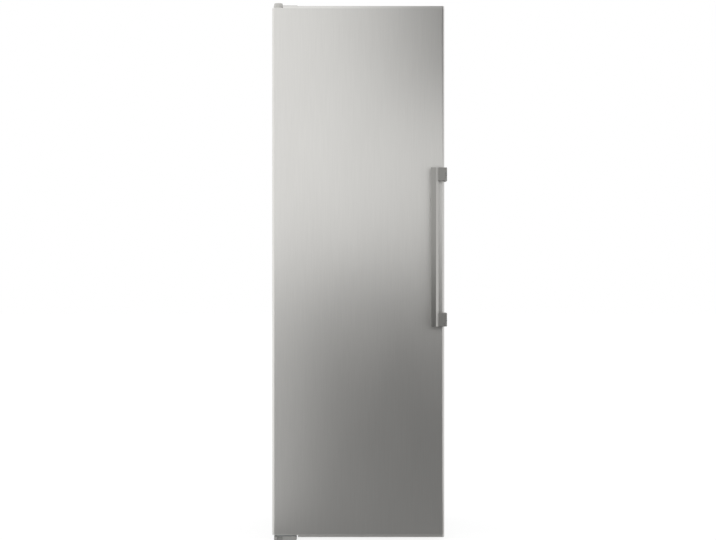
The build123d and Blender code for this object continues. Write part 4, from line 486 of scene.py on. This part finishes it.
def mitred_ring(name, low, high, profile):
    """A rectangular ring round y: its profile's points are an inset and a distance behind low."""
    middle = (low + high) / 2
    wide, tall = high.x - low.x, high.z - low.z
    inset, behind = profile[0]
    deselect()
    bpy.ops.mesh.primitive_plane_add(
        size=1, location=(middle.x, low.y + behind, middle.z), rotation=(pi / 2, 0, 0)
    )
    made = named(name)
    made.scale = (wide - 2 * inset, tall - 2 * inset, 1)
    apply_place()
    edit(made)
    bpy.ops.mesh.delete(type="ONLY_FACE")
    bpy.ops.mesh.select_mode(type="EDGE")
    bpy.ops.mesh.select_all(action="SELECT")
    for next_inset, next_behind in profile[1:] + profile[:1]:
        extrude((0, next_behind - behind, 0))
        across, up = ((side - 2 * next_inset) / (side - 2 * inset) for side in (wide, tall))
        bpy.ops.transform.resize(
            value=(across, 1, up), center_override=(middle.x, low.y + next_behind, middle.z)
        )
        inset, behind = next_inset, next_behind
    bpy.ops.mesh.select_all(action="SELECT")
    bpy.ops.mesh.remove_doubles(threshold=SAME_PLACE)
    face_outwards()
    leave()
    return made


# Solids with flat faces that have holes. Made whole, such a face can lose its hole, so these keep
# their triangles.
LEFT_AS_TRIANGLES = {
    "door_top_cap", "door_bottom_cap", "bottom_hinge_cover", "control_panel", "lamp_cover",
    "terminal_cover", "compressor", "condenser_clips", "compressor_tray", "shelf_trims",
}
# Solids with such faces whose edges also round badly as triangles: these get four-sided faces.
MADE_SQUARE = {
    "air_duct_cover", "inner_liner", "door_liner", "door_rack_upper", "door_rack_middle",
    "door_rack_lower", "bottle_rack",
}


def refined(name, node):
    """A copy of a solid's mesh with merged corners and, where that is safe, whole flat faces."""
    made = bpy.data.objects.new(name, NODES[node].data.copy())
    made.data.name = name
    bpy.context.scene.collection.objects.link(made)
    edit(made)
    bpy.ops.mesh.select_all(action="SELECT")
    bpy.ops.mesh.remove_doubles(threshold=MERGED)
    if node in MADE_SQUARE:
        bpy.ops.mesh.tris_convert_to_quads(face_threshold=FLAT_ANGLE, shape_threshold=pi)
    elif node not in LEFT_AS_TRIANGLES:
        bpy.ops.mesh.dissolve_limited(angle_limit=FLAT_ANGLE)
    leave()
    return made


def pick(kind, test):
    """In edit mode, selects only the vertices, edges or faces that a test accepts."""
    bpy.ops.mesh.select_mode(type=kind)
    bpy.ops.mesh.select_all(action="DESELECT")
    mesh = bmesh.from_edit_mesh(bpy.context.edit_object.data)
    for part in getattr(mesh, {"VERT": "verts", "EDGE": "edges", "FACE": "faces"}[kind]):
        part.select_set(bool(test(part)))
    mesh.select_flush_mode()
    bmesh.update_edit_mesh(bpy.context.edit_object.data)


def middle_of(part):
    """Middle of an edge or face."""
    return sum((corner.co for corner in part.verts), Vector()) / len(part.verts)


def near(a, b):
    return abs(a - b) < SAME_PLACE


def upright(edge, x=None, y=None):
    """Whether an edge runs along z, and is at x and y where they are given."""
    step = edge.verts[0].co - edge.verts[1].co
    place = middle_of(edge)
    here = (x is None or near(place.x, x)) and (y is None or near(place.y, y))
    return here and abs(step.z) > 0.999 * step.length


def modify(piece, kind, **settings):
    """Adds a modifier and applies it."""
    select(piece)
    made = piece.modifiers.new(kind.title(), kind)
    for name, value in settings.items():
        setattr(made, name, value)
    bpy.ops.object.modifier_apply(modifier=made.name)
    return piece


def ease(piece, width, segments=2, clamp=False):
    """Rounds the sharp edges of a piece."""
    return modify(
        piece, "BEVEL", width=width, segments=segments, use_clamp_overlap=clamp,
        limit_method="ANGLE", angle_limit=EASED_ANGLE, miter_outer="MITER_ARC",
    )


def cut(piece, tool):
    """Cuts a tool's shape out of a piece and throws the tool away."""
    modify(piece, "BOOLEAN", object=tool, operation="DIFFERENCE", solver="EXACT")
    bpy.data.objects.remove(tool)


def join(name, pieces):
    """Makes several pieces one."""
    deselect()
    for piece in pieces:
        piece.select_set(True)
    bpy.context.view_layer.objects.active = pieces[0]
    bpy.ops.object.join()
    pieces[0].name = pieces[0].data.name = name
    return pieces[0]


def copied(piece, name, shift):
    """A copy of a piece with its own mesh, moved by shift."""
    select(piece)
    bpy.ops.object.duplicate(linked=False)
    made = named(name)
    made.location = Vector(made.location) + Vector(shift)
    apply_place()
    return made


def settle(piece, node, replace=True, slot=None, angle=35, coat=None):
    """Ends a piece: smooth shading, and the body and finish of the solid that it belongs to."""
    select(piece)
    bpy.ops.object.shade_smooth_by_angle(angle=radians(angle))
    modify(piece, "WEIGHTED_NORMAL", keep_sharp=True)
    slot = slot or SLOTS[node]
    piece.data.materials.clear()
    piece.data.materials.append(finish(coat or slot))
    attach(piece, NODES[node]["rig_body"])
    if replace:
        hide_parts(node)


def dress(node, ending, edge, segments=2, clamp=False, coat=None):
    """Replaces a solid by its own mesh with rounded edges, named for the solid and an ending."""
    settle(ease(refined(f"{node}_{ending}", node), edge, segments, clamp), node, coat=coat)


def solid_boxes(node):
    """Lowest and highest corner of each separate solid in a node, from the lowest x, y and z up."""
    corners = {}
    owner = {}

    def root(key):
        while owner[key] != key:
            key = owner[key]
        return key

    mesh = NODES[node].data
    keys = [tuple(round(value, 6) for value in vertex.co) for vertex in mesh.vertices]
    for key in keys:
        owner.setdefault(key, key)
    for face in mesh.polygons:
        first = root(keys[face.vertices[0]])
        for number in face.vertices[1:]:
            owner[root(keys[number])] = first
    for key in owner:
        corners.setdefault(root(key), []).append(key)
    boxes = [
        (Vector(map(min, zip(*group))), Vector(map(max, zip(*group)))) for group in corners.values()
    ]
    return sorted(boxes, key=lambda pair: tuple(round(value, 4) for value in pair[0]))


# Operators


class FridgeFinishes(bpy.types.Operator):
    """Makes the materials and gives each solid the finish of its slot"""

    bl_idname = "fridge.finishes"
    bl_label = "Finishes"

    def execute(self, context):
        made = all_materials(context.scene.fridge_colours)
        context.scene["fridge_finishes"] = {slot: material.name for slot, material in made.items()}
        for node, solid in NODES.items():
            solid.data.materials.clear()
            solid.data.materials.append(made[SLOTS[node]])
        return {"FINISHED"}


class FridgeDoorPanel(bpy.types.Operator):
    """Adds the door's stainless panel with its rolled edges and rear folds"""

    bl_idname = "fridge.door_panel"
    bl_label = "Door panel"

    def execute(self, context):
        sizes = context.scene.fridge_sizes
        low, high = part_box("door_skin")
        middle_z = (low.z + high.z) / 2
        panel = block("door_panel", low, high)
        edit(panel)
        pick("FACE", lambda f: near(middle_of(f).y, high.y) or not near(middle_of(f).z, middle_z))
        bpy.ops.mesh.delete(type="FACE")
        pick("EDGE", lambda e: upright(e, y=low.y))
        bpy.ops.mesh.bevel(offset=sizes.door_edge, segments=8, affect="EDGES")
        for x, side in ((low.x, 1), (high.x, -1)):
            pick("EDGE", lambda e: upright(e, x, high.y))
            extrude((side * sizes.door_fold, 0, 0))
        face_outwards()
        # The sheet is open behind, so which way is outwards is read from its front.
        front = min(bmesh.from_edit_mesh(panel.data).faces, key=lambda f: middle_of(f).y)
        if front.normal.y > 0:
            bpy.ops.mesh.flip_normals()
        leave()
        modify(panel, "SOLIDIFY", thickness=sizes.door_sheet, offset=-1)
        settle(panel, "door_skin")
        return {"FINISHED"}


class FridgeDoorMouldings(bpy.types.Operator):
    """Adds the door's end caps, its white liner and the nylon bushes"""

    bl_idname = "fridge.door_mouldings"
    bl_label = "Door mouldings"

    def execute(self, context):
        sizes = context.scene.fridge_sizes
        for node in ("door_top_cap", "door_bottom_cap"):
            dress(node, "moulded", sizes.sheet_edge, coat="silver_lacquer")
        dress("door_liner", "formed", sizes.liner_edge, 3)
        dress("hinge_bushes", "moulded", sizes.sheet_edge)
        return {"FINISHED"}


class FridgeGasket(bpy.types.Operator):
    """Adds the folded vinyl seal round the back of the door"""

    bl_idname = "fridge.gasket"
    bl_label = "Gasket"

    # Inset from the seal's outline and distance behind the door, in millimetres: a base, a bellows
    # on each side and a bulb with a shallow groove in its sealing face.
    OUTER = (
        (0, 0), (0, 1.4), (1.6, 2.1), (3.2, 2.7), (1.4, 3.5), (0.5, 4.3), (0, 5.0), (0, 9.0),
        (0.6, 9.7),
    )
    GROOVE = ((5.2, 9.7), (7.0, 9.1), (8.8, 9.7))
    WIDTH = 14.0

    def execute(self, context):
        low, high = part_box("door_gasket")
        inner = [(self.WIDTH - inset, behind) for inset, behind in reversed(self.OUTER)]
        outline = (*self.OUTER, *self.GROOVE, *inner)
        profile = [(inset * MM, behind * MM) for inset, behind in outline]
        settle(mitred_ring("door_gasket_bellows", low, high, profile), "door_gasket", angle=50)
        return {"FINISHED"}


class FridgeHandle(bpy.types.Operator):
    """Adds the handle bar with its end plugs, the two brackets and their screws"""

    bl_idname = "fridge.handle"
    bl_label = "Handle"

    def execute(self, context):
        sizes = context.scene.fridge_sizes
        low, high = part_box("handle_bar")
        plug_rim, plug_side, plug_deep = 0.6 * MM, 0.2 * MM, 0.4 * MM
        strip_margin, strip_edge, screw_edge = 0.4 * MM, 0.2 * MM, 0.25 * MM
        front = low.y + sizes.strip_height
        bar = block("handle_bar_body", (low.x, front, low.z), high)
        edit(bar)
        pick("EDGE", lambda e: upright(e, high.x, front))
        bpy.ops.mesh.bevel(offset=sizes.bar_flank, segments=1, affect="EDGES")
        pick("EDGE", upright)
        bpy.ops.mesh.bevel(offset=sizes.bar_edge, segments=3, affect="EDGES")
        pick("FACE", lambda f: abs(f.normal.z) > WALL_FACING)
        bpy.ops.mesh.inset(thickness=plug_rim, use_individual=True)
        bpy.ops.mesh.inset(thickness=plug_side, depth=-plug_deep, use_individual=True)
        leave()
        # The bar's body takes the lighter tone, which is painted light.
        settle(bar, "handle_bar", coat="handle_body")
        strip = block(
            "handle_front_strip",
            (low.x + strip_margin, low.y, low.z + strip_margin),
            (
                high.x - sizes.bar_flank - strip_margin,
                low.y + 2 * sizes.strip_height,
                high.z - strip_margin,
            ),
        )
        settle(ease(strip, strip_edge), "handle_bar")
        dress("handle_screws", "turned", screw_edge)
        brackets = [
            handle_bracket(corner, end, low.y + sizes.bar_flank, sizes)
            for corner, end in solid_boxes("handle_brackets")
        ]
        settle(join("handle_brackets_cast", brackets), "handle_brackets", coat="bracket")
        return {"FINISHED"}


def handle_bracket(low, high, front, sizes):
    """An arm that ends flush with the bar's flank, and a leg back along the door's side."""
    door_side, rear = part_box("door_skin")[1].x, low.y + sizes.bracket_arm
    hidden = 3 * MM  # of the arm's rounded end, inside the bar
    play, deep = 0.2 * MM, 5 * MM  # of the bore for a screw's head
    bracket = block("bracket", (low.x - hidden, front, low.z), (high.x, rear, high.z))
    edit(bracket)
    bpy.ops.mesh.select_all(action="SELECT")
    bpy.ops.mesh.bisect(plane_co=(door_side, 0, 0), plane_no=(1, 0, 0))
    pick("FACE", lambda f: f.normal.y > WALL_FACING and middle_of(f).x > door_side)
    extrude((0, high.y - rear, 0))
    pick("EDGE", lambda e: upright(e, high.x, front))
    bpy.ops.mesh.bevel(offset=sizes.bracket_corner, segments=4, affect="EDGES")
    leave()
    ease(bracket, sizes.bracket_edge, 3)
    for corner, end in solid_boxes("handle_screws"):
        place = (corner + end) / 2
        if low.z < place.z < high.z:
            radius = (end.y - corner.y) / 2 + play
            bore = [(radius, 0), (radius, 2 * deep)]
            cut(bracket, turned("bore", (high.x - deep, place.y, place.z), 0, bore, 24))
    return bracket


class FridgeHinges(bpy.types.Operator):
    """Adds the hinge covers, the hinge plates and their cross-recessed screws"""

    bl_idname = "fridge.hinges"
    bl_label = "Hinges"

    def execute(self, context):
        sizes = context.scene.fridge_sizes
        dress("top_hinge_cover", "made", sizes.sheet_edge)
        cup = refined("bottom_hinge_cover_made", "bottom_hinge_cover")
        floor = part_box("bottom_hinge_cover")[0].z + 2.1 * MM
        edit(cup)
        pick("VERT", lambda v: v.co.z < floor)
        bpy.ops.transform.translate(value=(0, 0, -sizes.cup_drop))
        leave()
        # The cup gets the darker grey, which is painted shade.
        settle(ease(cup, sizes.sheet_edge), "bottom_hinge_cover", coat="grey_cup_painted_shade")
        for node in ("top_hinge_bracket", "bottom_hinge_bracket"):
            dress(node, "made", sizes.sheet_edge)
        screws = [pan_head_screw(low, high) for low, high in solid_boxes("hinge_screws")]
        settle(join("hinge_screws_pressed", screws), "hinge_screws")
        return {"FINISHED"}


def pan_head_screw(low, high):
    """A screw along z with a domed head and a cross recess. The upper hinge's screws point down
    and the lower hinge's point up."""
    middle = (low + high) / 2
    upper = middle.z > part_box("door_skin")[0].z + 1.0
    head, tip, up = (high.z, low.z, 1) if upper else (low.z, high.z, -1)
    radius, shank, height = 5 * MM, 2.4 * MM, 3 * MM
    dome = [(radius * 0.72, 0), (radius * 0.92, 0.4 * MM), (radius, 1.1 * MM)]
    profile = [(wide, -below * up) for wide, below in (*dome, (radius, height), (shank, height))]
    place = Vector((middle.x, middle.y, head))
    screw = turned("screw", place, 2, [*profile, (shank, tip - head)], 24)
    slot, arm, deep = 1.0 * MM, 4.6 * MM, 1.5 * MM
    for reach in (Vector((arm / 2, slot / 2, deep)), Vector((slot / 2, arm / 2, deep))):
        cut(screw, block("recess", place - reach, place + reach))
    return screw


class FridgeCabinet(bpy.types.Operator):
    """Adds the cabinet's sheets, with pressed fields in the back"""

    bl_idname = "fridge.cabinet"
    bl_label = "Cabinet"

    def execute(self, context):
        sizes = context.scene.fridge_sizes
        for node in (
            "left_side_panel", "right_side_panel", "top_panel", "compressor_bay_panel",
            "base_panel", "front_crossbars", "compressor_tray",
        ):
            dress(node, "folded", sizes.sheet_edge)
        low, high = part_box("rear_panel")
        back = block("rear_panel_pressed", low, high)
        edit(back)
        fields = 3
        for number in range(1, fields):
            bpy.ops.mesh.select_all(action="SELECT")
            z = low.z + (high.z - low.z) * number / fields
            bpy.ops.mesh.bisect(plane_co=(0, 0, z), plane_no=(0, 0, 1))
        pick("FACE", lambda f: f.normal.y > WALL_FACING)
        bpy.ops.mesh.inset(thickness=sizes.swage_margin, use_individual=True)
        height = sizes.swage_height
        bpy.ops.mesh.inset(thickness=2 * height, depth=height, use_individual=True)
        leave()
        settle(back, "rear_panel", angle=10)
        return {"FINISHED"}


class FridgeLiner(bpy.types.Operator):
    """Adds the white tub of the food space"""

    bl_idname = "fridge.liner"
    bl_label = "Liner"

    def execute(self, context):
        dress("inner_liner", "formed", context.scene.fridge_sizes.tub_edge, clamp=True)
        return {"FINISHED"}


class FridgeShelves(bpy.types.Operator):
    """Adds the shelf glasses with ground edges and their rounded trims"""

    bl_idname = "fridge.shelves"
    bl_label = "Shelves"

    def execute(self, context):
        sizes = context.scene.fridge_sizes
        for node in ("shelf_glasses", "pull_out_shelf_glass"):
            panes = []
            for low, high in solid_boxes(node):
                panes.append(ease(block("pane", low, high), sizes.glass_edge, 1))
            settle(join(node + "_ground", panes), node, angle=20)
        for node in ("shelf_trims", "pull_out_shelf_trims"):
            dress(node, "rounded", sizes.trim_edge, 3, clamp=True)
        return {"FINISHED"}


class FridgeDrawers(bpy.types.Operator):
    """Adds the two drawers and the humidity slider"""

    bl_idname = "fridge.drawers"
    bl_label = "Drawers"

    def execute(self, context):
        sizes = context.scene.fridge_sizes
        for node in ("upper_drawer", "lower_crisper"):
            dress(node, "moulded", sizes.moulded_edge)
        dress("humidity_slider", "moulded", sizes.fine_edge)
        return {"FINISHED"}


class FridgeRacks(bpy.types.Operator):
    """Adds the four door racks, each with an aluminium band and ribs on its floor"""

    bl_idname = "fridge.racks"
    bl_label = "Door racks"

    def execute(self, context):
        sizes = context.scene.fridge_sizes
        for node in ("door_rack_upper", "door_rack_middle", "door_rack_lower", "bottle_rack"):
            dress(node, "moulded", sizes.moulded_edge)
            low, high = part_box(node)
            settle(rack_ribs(node + "_ribs", low, high, sizes.rack_rib_pitch), node, replace=False)
            band = rack_band(node + "_band", node, sizes.rack_band)
            settle(band, node, replace=False, slot="bare_aluminium")
        return {"FINISHED"}


def rack_ribs(name, low, high, pitch):
    """Ribs across the floor of a rack that keep wet bottles clear of it."""
    floor, sunk = low.z + 2.5 * MM, 0.1 * MM
    tall, wide, edge = 1.2 * MM, 2 * MM, 0.4 * MM
    end_gap, front_gap, rear_gap = 24 * MM, 12 * MM, 14 * MM
    left, right = low.x + end_gap, high.x - end_gap
    count = int((right - left) / pitch)
    start = (left + right) / 2 - count * pitch / 2
    front, rear = low.y + front_gap, high.y - rear_gap
    first = block("rib", (start, front, floor - sunk), (start + wide, rear, floor + tall))
    ease(first, edge)
    copies = [copied(first, "rib", (pitch * number, 0, 0)) for number in range(1, count + 1)]
    return join(name, [first, *copies])


def rack_band(name, node, tall):
    """The band round the rack's wall that faces the user when the door is open."""
    below_rim, wrap, thick, edge = 5 * MM, 34 * MM, 0.8 * MM, 0.25 * MM
    low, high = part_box(node)
    top, back = high.z - below_rim, high.y - wrap
    middle = Vector(((low.x + high.x) / 2, back, 0))
    band = refined(name, node)
    edit(band)
    for place, away in (
        ((0, 0, top), (0, 0, 1)), ((0, 0, top - tall), (0, 0, -1)), ((0, back, 0), (0, -1, 0)),
    ):
        bpy.ops.mesh.select_all(action="SELECT")
        bpy.ops.mesh.bisect(plane_co=place, plane_no=away, clear_outer=True)
    # Only the outer faces of the wall stay, which turn away from the rack's middle.
    pick("FACE", lambda f: (middle_of(f) - middle).xy.dot(f.normal.xy) < 0.5 * MM)
    bpy.ops.mesh.delete(type="FACE")
    leave()
    modify(band, "SOLIDIFY", thickness=thick, offset=1)
    return ease(band, edge)


class FridgeAirDuct(bpy.types.Operator):
    """Adds the duct cover on the rear wall, the fan and its motor"""

    bl_idname = "fridge.air_duct"
    bl_label = "Air duct"

    def execute(self, context):
        sizes = context.scene.fridge_sizes
        dress("air_duct_cover", "moulded", sizes.fine_edge)
        dress("fan_impeller", "moulded", sizes.fine_edge)
        dress("fan_motor", "can", sizes.moulded_edge)
        return {"FINISHED"}


class FridgeControls(bpy.types.Operator):
    """Adds the control panel with its scale of numbers, the lamp cover and the two keys"""

    bl_idname = "fridge.controls"
    bl_label = "Controls"

    def execute(self, context):
        sizes = context.scene.fridge_sizes
        for node in ("control_panel", "lamp_cover", "temperature_button", "fast_cool_button"):
            dress(node, "moulded", sizes.fine_edge)
        low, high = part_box("temperature_button")
        key = (low + high) / 2
        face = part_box("control_panel")[0].y
        from_key, pitch, above, below = 34 * MM, 14 * MM, 3.5 * MM, 6.5 * MM
        lens = [(1.6 * MM, 0.2 * MM), (1.4 * MM, -0.4 * MM)]
        lights, numbers = [], []
        for number, degrees in enumerate("8642"):
            x = key.x - from_key - number * pitch
            lights.append(turned("light", (x, face, key.z + above), 1, lens, 16))
            numbers.append(numeral(degrees, x, face, key.z - below))
        for name, parts, slot in (
            ("temperature_lights", lights, "lamp_diffuser"),
            ("temperature_numbers", numbers, "black_plastic"),
        ):
            settle(join(name, parts), "control_panel", replace=False, slot=slot)
        return {"FINISHED"}


def numeral(text, x, y, z):
    """A printed number on a wall that faces the front."""
    sunk, size, half_thick = 0.05 * MM, 6.5 * MM, 0.15 * MM
    deselect()
    bpy.ops.object.text_add(location=(x, y + sunk, z), rotation=(pi / 2, 0, 0))
    made = bpy.context.active_object
    made.data.body = text
    made.data.size = size
    made.data.align_x = "CENTER"
    made.data.extrude = half_thick
    bpy.ops.object.convert(target="MESH")
    apply_place()
    return bpy.context.active_object


class FridgeCompressor(bpy.types.Operator):
    """Adds the compressor with its mounts, terminal cover, water tray and hose"""

    bl_idname = "fridge.compressor"
    bl_label = "Compressor"

    def execute(self, context):
        sizes = context.scene.fridge_sizes
        dress("compressor", "shell", sizes.weld_edge, 3)
        for node in ("compressor_grommets", "terminal_cover", "evaporation_tray", "drain_hose"):
            dress(node, "moulded", sizes.moulded_edge)
        return {"FINISHED"}


class FridgePipework(bpy.types.Operator):
    """Adds the copper pipes and the condenser with its wires and clips"""

    bl_idname = "fridge.pipework"
    bl_label = "Pipework"

    def execute(self, context):
        for node in ("copper_pipework", "condenser_tube", "condenser_wires", "evaporator"):
            settle(refined(node + "_drawn", node), node, angle=40)
        dress("condenser_clips", "moulded", context.scene.fridge_sizes.clip_edge)
        return {"FINISHED"}


class FridgeSupports(bpy.types.Operator):
    """Adds the ribbed front feet with their threads, the rear rollers and their axles"""

    bl_idname = "fridge.supports"
    bl_label = "Feet and rollers"

    def execute(self, context):
        sizes = context.scene.fridge_sizes
        for node in ("left_front_foot", "right_front_foot"):
            settle(ribbed_foot(node + "_moulded", node, sizes.thread_pitch), node)
        for node in ("left_rear_roller", "right_rear_roller"):
            dress(node, "moulded", sizes.moulded_edge)
        dress("roller_axles", "headed", sizes.fine_edge)
        return {"FINISHED"}


def ribbed_foot(name, node, pitch):
    """A foot that is turned by hand: a disc with a grip round its rim, on a threaded stud."""
    low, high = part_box(node)
    middle = (low + high) / 2
    radius, thick, edge, sides = (high.x - low.x) / 2, 10 * MM, 1.2 * MM, 48
    groove_side, groove_deep, joint = 0.3 * MM, 0.7 * MM, 0.5 * MM
    crest, root = 4 * MM, 3.4 * MM
    profile = [(radius - edge, 0), (radius, edge), (radius, thick - edge), (radius - edge, thick)]
    disc = turned("disc", (middle.x, middle.y, low.z), 2, profile, sides)
    edit(disc)

    def grooved(face):
        """Every other face of the rim, counted round it, as faces have no fixed order."""
        out = middle_of(face) - middle
        count = atan2(out.y, out.x) // (2 * pi / sides)
        return abs(face.normal.z) < 0.1 and count % 2 == 0

    pick("FACE", grooved)
    bpy.ops.mesh.inset(thickness=groove_side, depth=-groove_deep, use_individual=True)
    leave()
    turns = int((high.z - low.z - thick) / pitch)
    thread = [(crest, thick - joint)]
    for number in range(turns):
        z = thick + number * pitch
        thread += [(crest, z + 0.2 * pitch), (root, z + 0.5 * pitch), (crest, z + 0.8 * pitch)]
    thread += [(root, high.z - low.z)]
    stud = turned("stud", (middle.x, middle.y, low.z), 2, thread, 20)
    return join(name, [disc, stud])


class FridgeStage(bpy.types.Operator):
    """Adds the floor, the studio's light and the camera"""

    bl_idname = "fridge.stage"
    bl_label = "Studio"

    def execute(self, context):
        studio = context.scene.fridge_studio
        low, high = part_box("door_skin")
        face = low.y
        middle_x = (low.x + high.x) / 2
        add_world(context.scene)
        add_floor()
        add_cards(middle_x, face)
        add_softbox(middle_x, face)
        deselect()
        bpy.ops.object.camera_add(
            location=(middle_x - studio.camera_side, face - studio.distance, studio.camera_height),
            rotation=(pi / 2, 0, 0),
        )
        camera = context.active_object
        camera.data.lens = camera.data.sensor_width * studio.distance / studio.view_width
        camera.data.clip_end = 100
        context.scene.camera = camera
        context.scene.view_settings.view_transform = "Standard"
        return {"FINISHED"}


def seen_rays(tree):
    """1 on camera, glossy and transmission rays, which see the white background."""
    path = add(tree, "LightPath").outputs
    either = {0: path["Is Camera Ray"], 1: path["Is Glossy Ray"]}
    either = add(tree, "Math", either, operation="MAXIMUM")
    any_of_three = {0: either, 1: path["Is Transmission Ray"]}
    return add(tree, "Math", any_of_three, operation="MAXIMUM")


def add_world(scene):
    """White where it is seen or reflected, and a soft even light on everything else."""
    world = scene.world or bpy.data.worlds.new("studio")
    scene.world = world
    world.use_nodes = True
    tree = world.node_tree
    tree.nodes.clear()
    white = add(tree, "Background", {"Color": WHITE, "Strength": 1.0})
    fill = add(tree, "Background", {"Color": WHITE, "Strength": FILL})
    mix = add(tree, "MixShader", {0: seen_rays(tree), 1: fill, 2: white})
    add(tree, "OutputWorld", {"Surface": mix})


def add_floor():
    """A pale floor that keeps the shadow and runs into the white background."""

    def build(tree):
        white = add(tree, "Emission", {"Color": WHITE, "Strength": FLOOR_GLOW})
        paint = add(tree, "BsdfDiffuse", {"Color": rgba(linear("#DADADA"))})
        faint = add(tree, "BsdfDiffuse", {"Color": rgba(linear("#7F7F7F"))})
        lit = add(tree, "AddShader", {0: white, 1: faint})
        return add(tree, "MixShader", {0: seen_rays(tree), 1: paint, 2: lit})

    deselect()
    bpy.ops.mesh.primitive_plane_add(size=60, location=(0, 0, 0))
    floor = bpy.context.active_object
    floor.name = "studio_floor"
    floor.data.materials.append(new_material("painted_floor", build))


FILL = 0.95  # strength of the even light on the refrigerator
FLOOR_GLOW = 0.84  # strength of the floor's own white; the rest of its white is lit

# The studio's cards: from and to along x, y and z, in metres from the door's middle, from its face
# towards the camera and from the floor, and how bright each looks in a reflection.
CARDS = {
    "studio_flag_low": ((-0.364, 0.97), (1.376, 1.376), (0.0, 0.906), 0.072),
    "studio_flag_mat": ((-0.364, 0.97), (0.02, 1.376), (0.002, 0.002), 0.274),
    "studio_flag_high": ((0.202, 2.596), (1.14, 1.14), (1.633, 4.0), 0.104),
    "studio_strip_left": ((-1.6, -1.6), (-0.6, 1.1), (0.0, 2.6), 1.45),
}


def add_cards(middle_x, face):
    """Felt flags and a white strip, as a photographer sets up. Only reflections see them."""
    for name, (xs, ahead, zs, bright) in CARDS.items():

        def build(tree):
            return add(tree, "Emission", {"Color": WHITE, "Strength": bright})

        wide, deep, tall = xs[1] - xs[0], ahead[1] - ahead[0], zs[1] - zs[0]
        if not wide:  # it stands beside the door
            turn, scale = (0, pi / 2, 0), (tall, deep, 1)
        elif not deep:  # it stands in front
            turn, scale = (pi / 2, 0, 0), (wide, tall, 1)
        else:  # it lies on the floor
            turn, scale = (0, 0, 0), (wide, deep, 1)
        place = (middle_x + sum(xs) / 2, face - sum(ahead) / 2, sum(zs) / 2)
        deselect()
        bpy.ops.mesh.primitive_plane_add(size=1, location=place, rotation=turn)
        card = bpy.context.active_object
        card.scale = scale
        card.name = name
        card.data.materials.append(new_material(name, build))
        card.visible_camera = card.visible_diffuse = card.visible_shadow = False
        card.visible_transmission = False


def add_softbox(middle_x, face):
    """The key light: a soft box in front, up on the left. Its place is given as a card's is."""
    xs, ahead, zs, bright = (-0.915, 0.001), 1.504, (0.648, 3.597), 0.315
    width, height = xs[1] - xs[0], zs[1] - zs[0]
    place = (middle_x + sum(xs) / 2, face - ahead, sum(zs) / 2)
    deselect()
    bpy.ops.object.light_add(type="AREA", location=place, rotation=(pi / 2, 0, 0))
    lamp = bpy.context.active_object
    lamp.name = "softbox"
    lamp.data.shape = "RECTANGLE"
    lamp.data.size, lamp.data.size_y = width, height
    lamp.data.energy = bright * pi * width * height
    lamp.visible_camera = False


class FridgePanel(bpy.types.Panel):
    """Lists the refrigerator's operators and settings in the sidebar"""

    bl_idname = "VIEW3D_PT_fridge"
    bl_label = "Refrigerator"
    bl_space_type = "VIEW_3D"
    bl_region_type = "UI"
    bl_category = "Refrigerator"

    def draw(self, context):
        for step in STEPS:
            self.layout.operator(step.bl_idname)
        for group in GROUPS:
            settings = getattr(context.scene, group)
            for name in settings.__annotations__:
                self.layout.prop(settings, name)


GROUPS = {
    "fridge_colours": FridgeColours,
    "fridge_sizes": FridgeSizes,
    "fridge_studio": FridgeStudio,
}
STEPS = (
    FridgeFinishes,
    FridgeDoorPanel,
    FridgeDoorMouldings,
    FridgeGasket,
    FridgeHandle,
    FridgeHinges,
    FridgeCabinet,
    FridgeLiner,
    FridgeShelves,
    FridgeDrawers,
    FridgeRacks,
    FridgeAirDuct,
    FridgeControls,
    FridgeCompressor,
    FridgePipework,
    FridgeSupports,
    FridgeStage,
)


def register():
    for group in GROUPS.values():
        bpy.utils.register_class(group)
    for name, group in GROUPS.items():
        setattr(bpy.types.Scene, name, bpy.props.PointerProperty(type=group))
    for step in (*STEPS, FridgePanel):
        bpy.utils.register_class(step)


def unregister():
    for step in (FridgePanel, *reversed(STEPS)):
        bpy.utils.unregister_class(step)
    for name, group in GROUPS.items():
        delattr(bpy.types.Scene, name)
        bpy.utils.unregister_class(group)


def main():
    """Runs every operator in order."""
    register()
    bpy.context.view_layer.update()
    for step in STEPS:
        group, name = step.bl_idname.split(".")
        getattr(getattr(bpy.ops, group), name)()


if __name__ == "__main__":
    main()
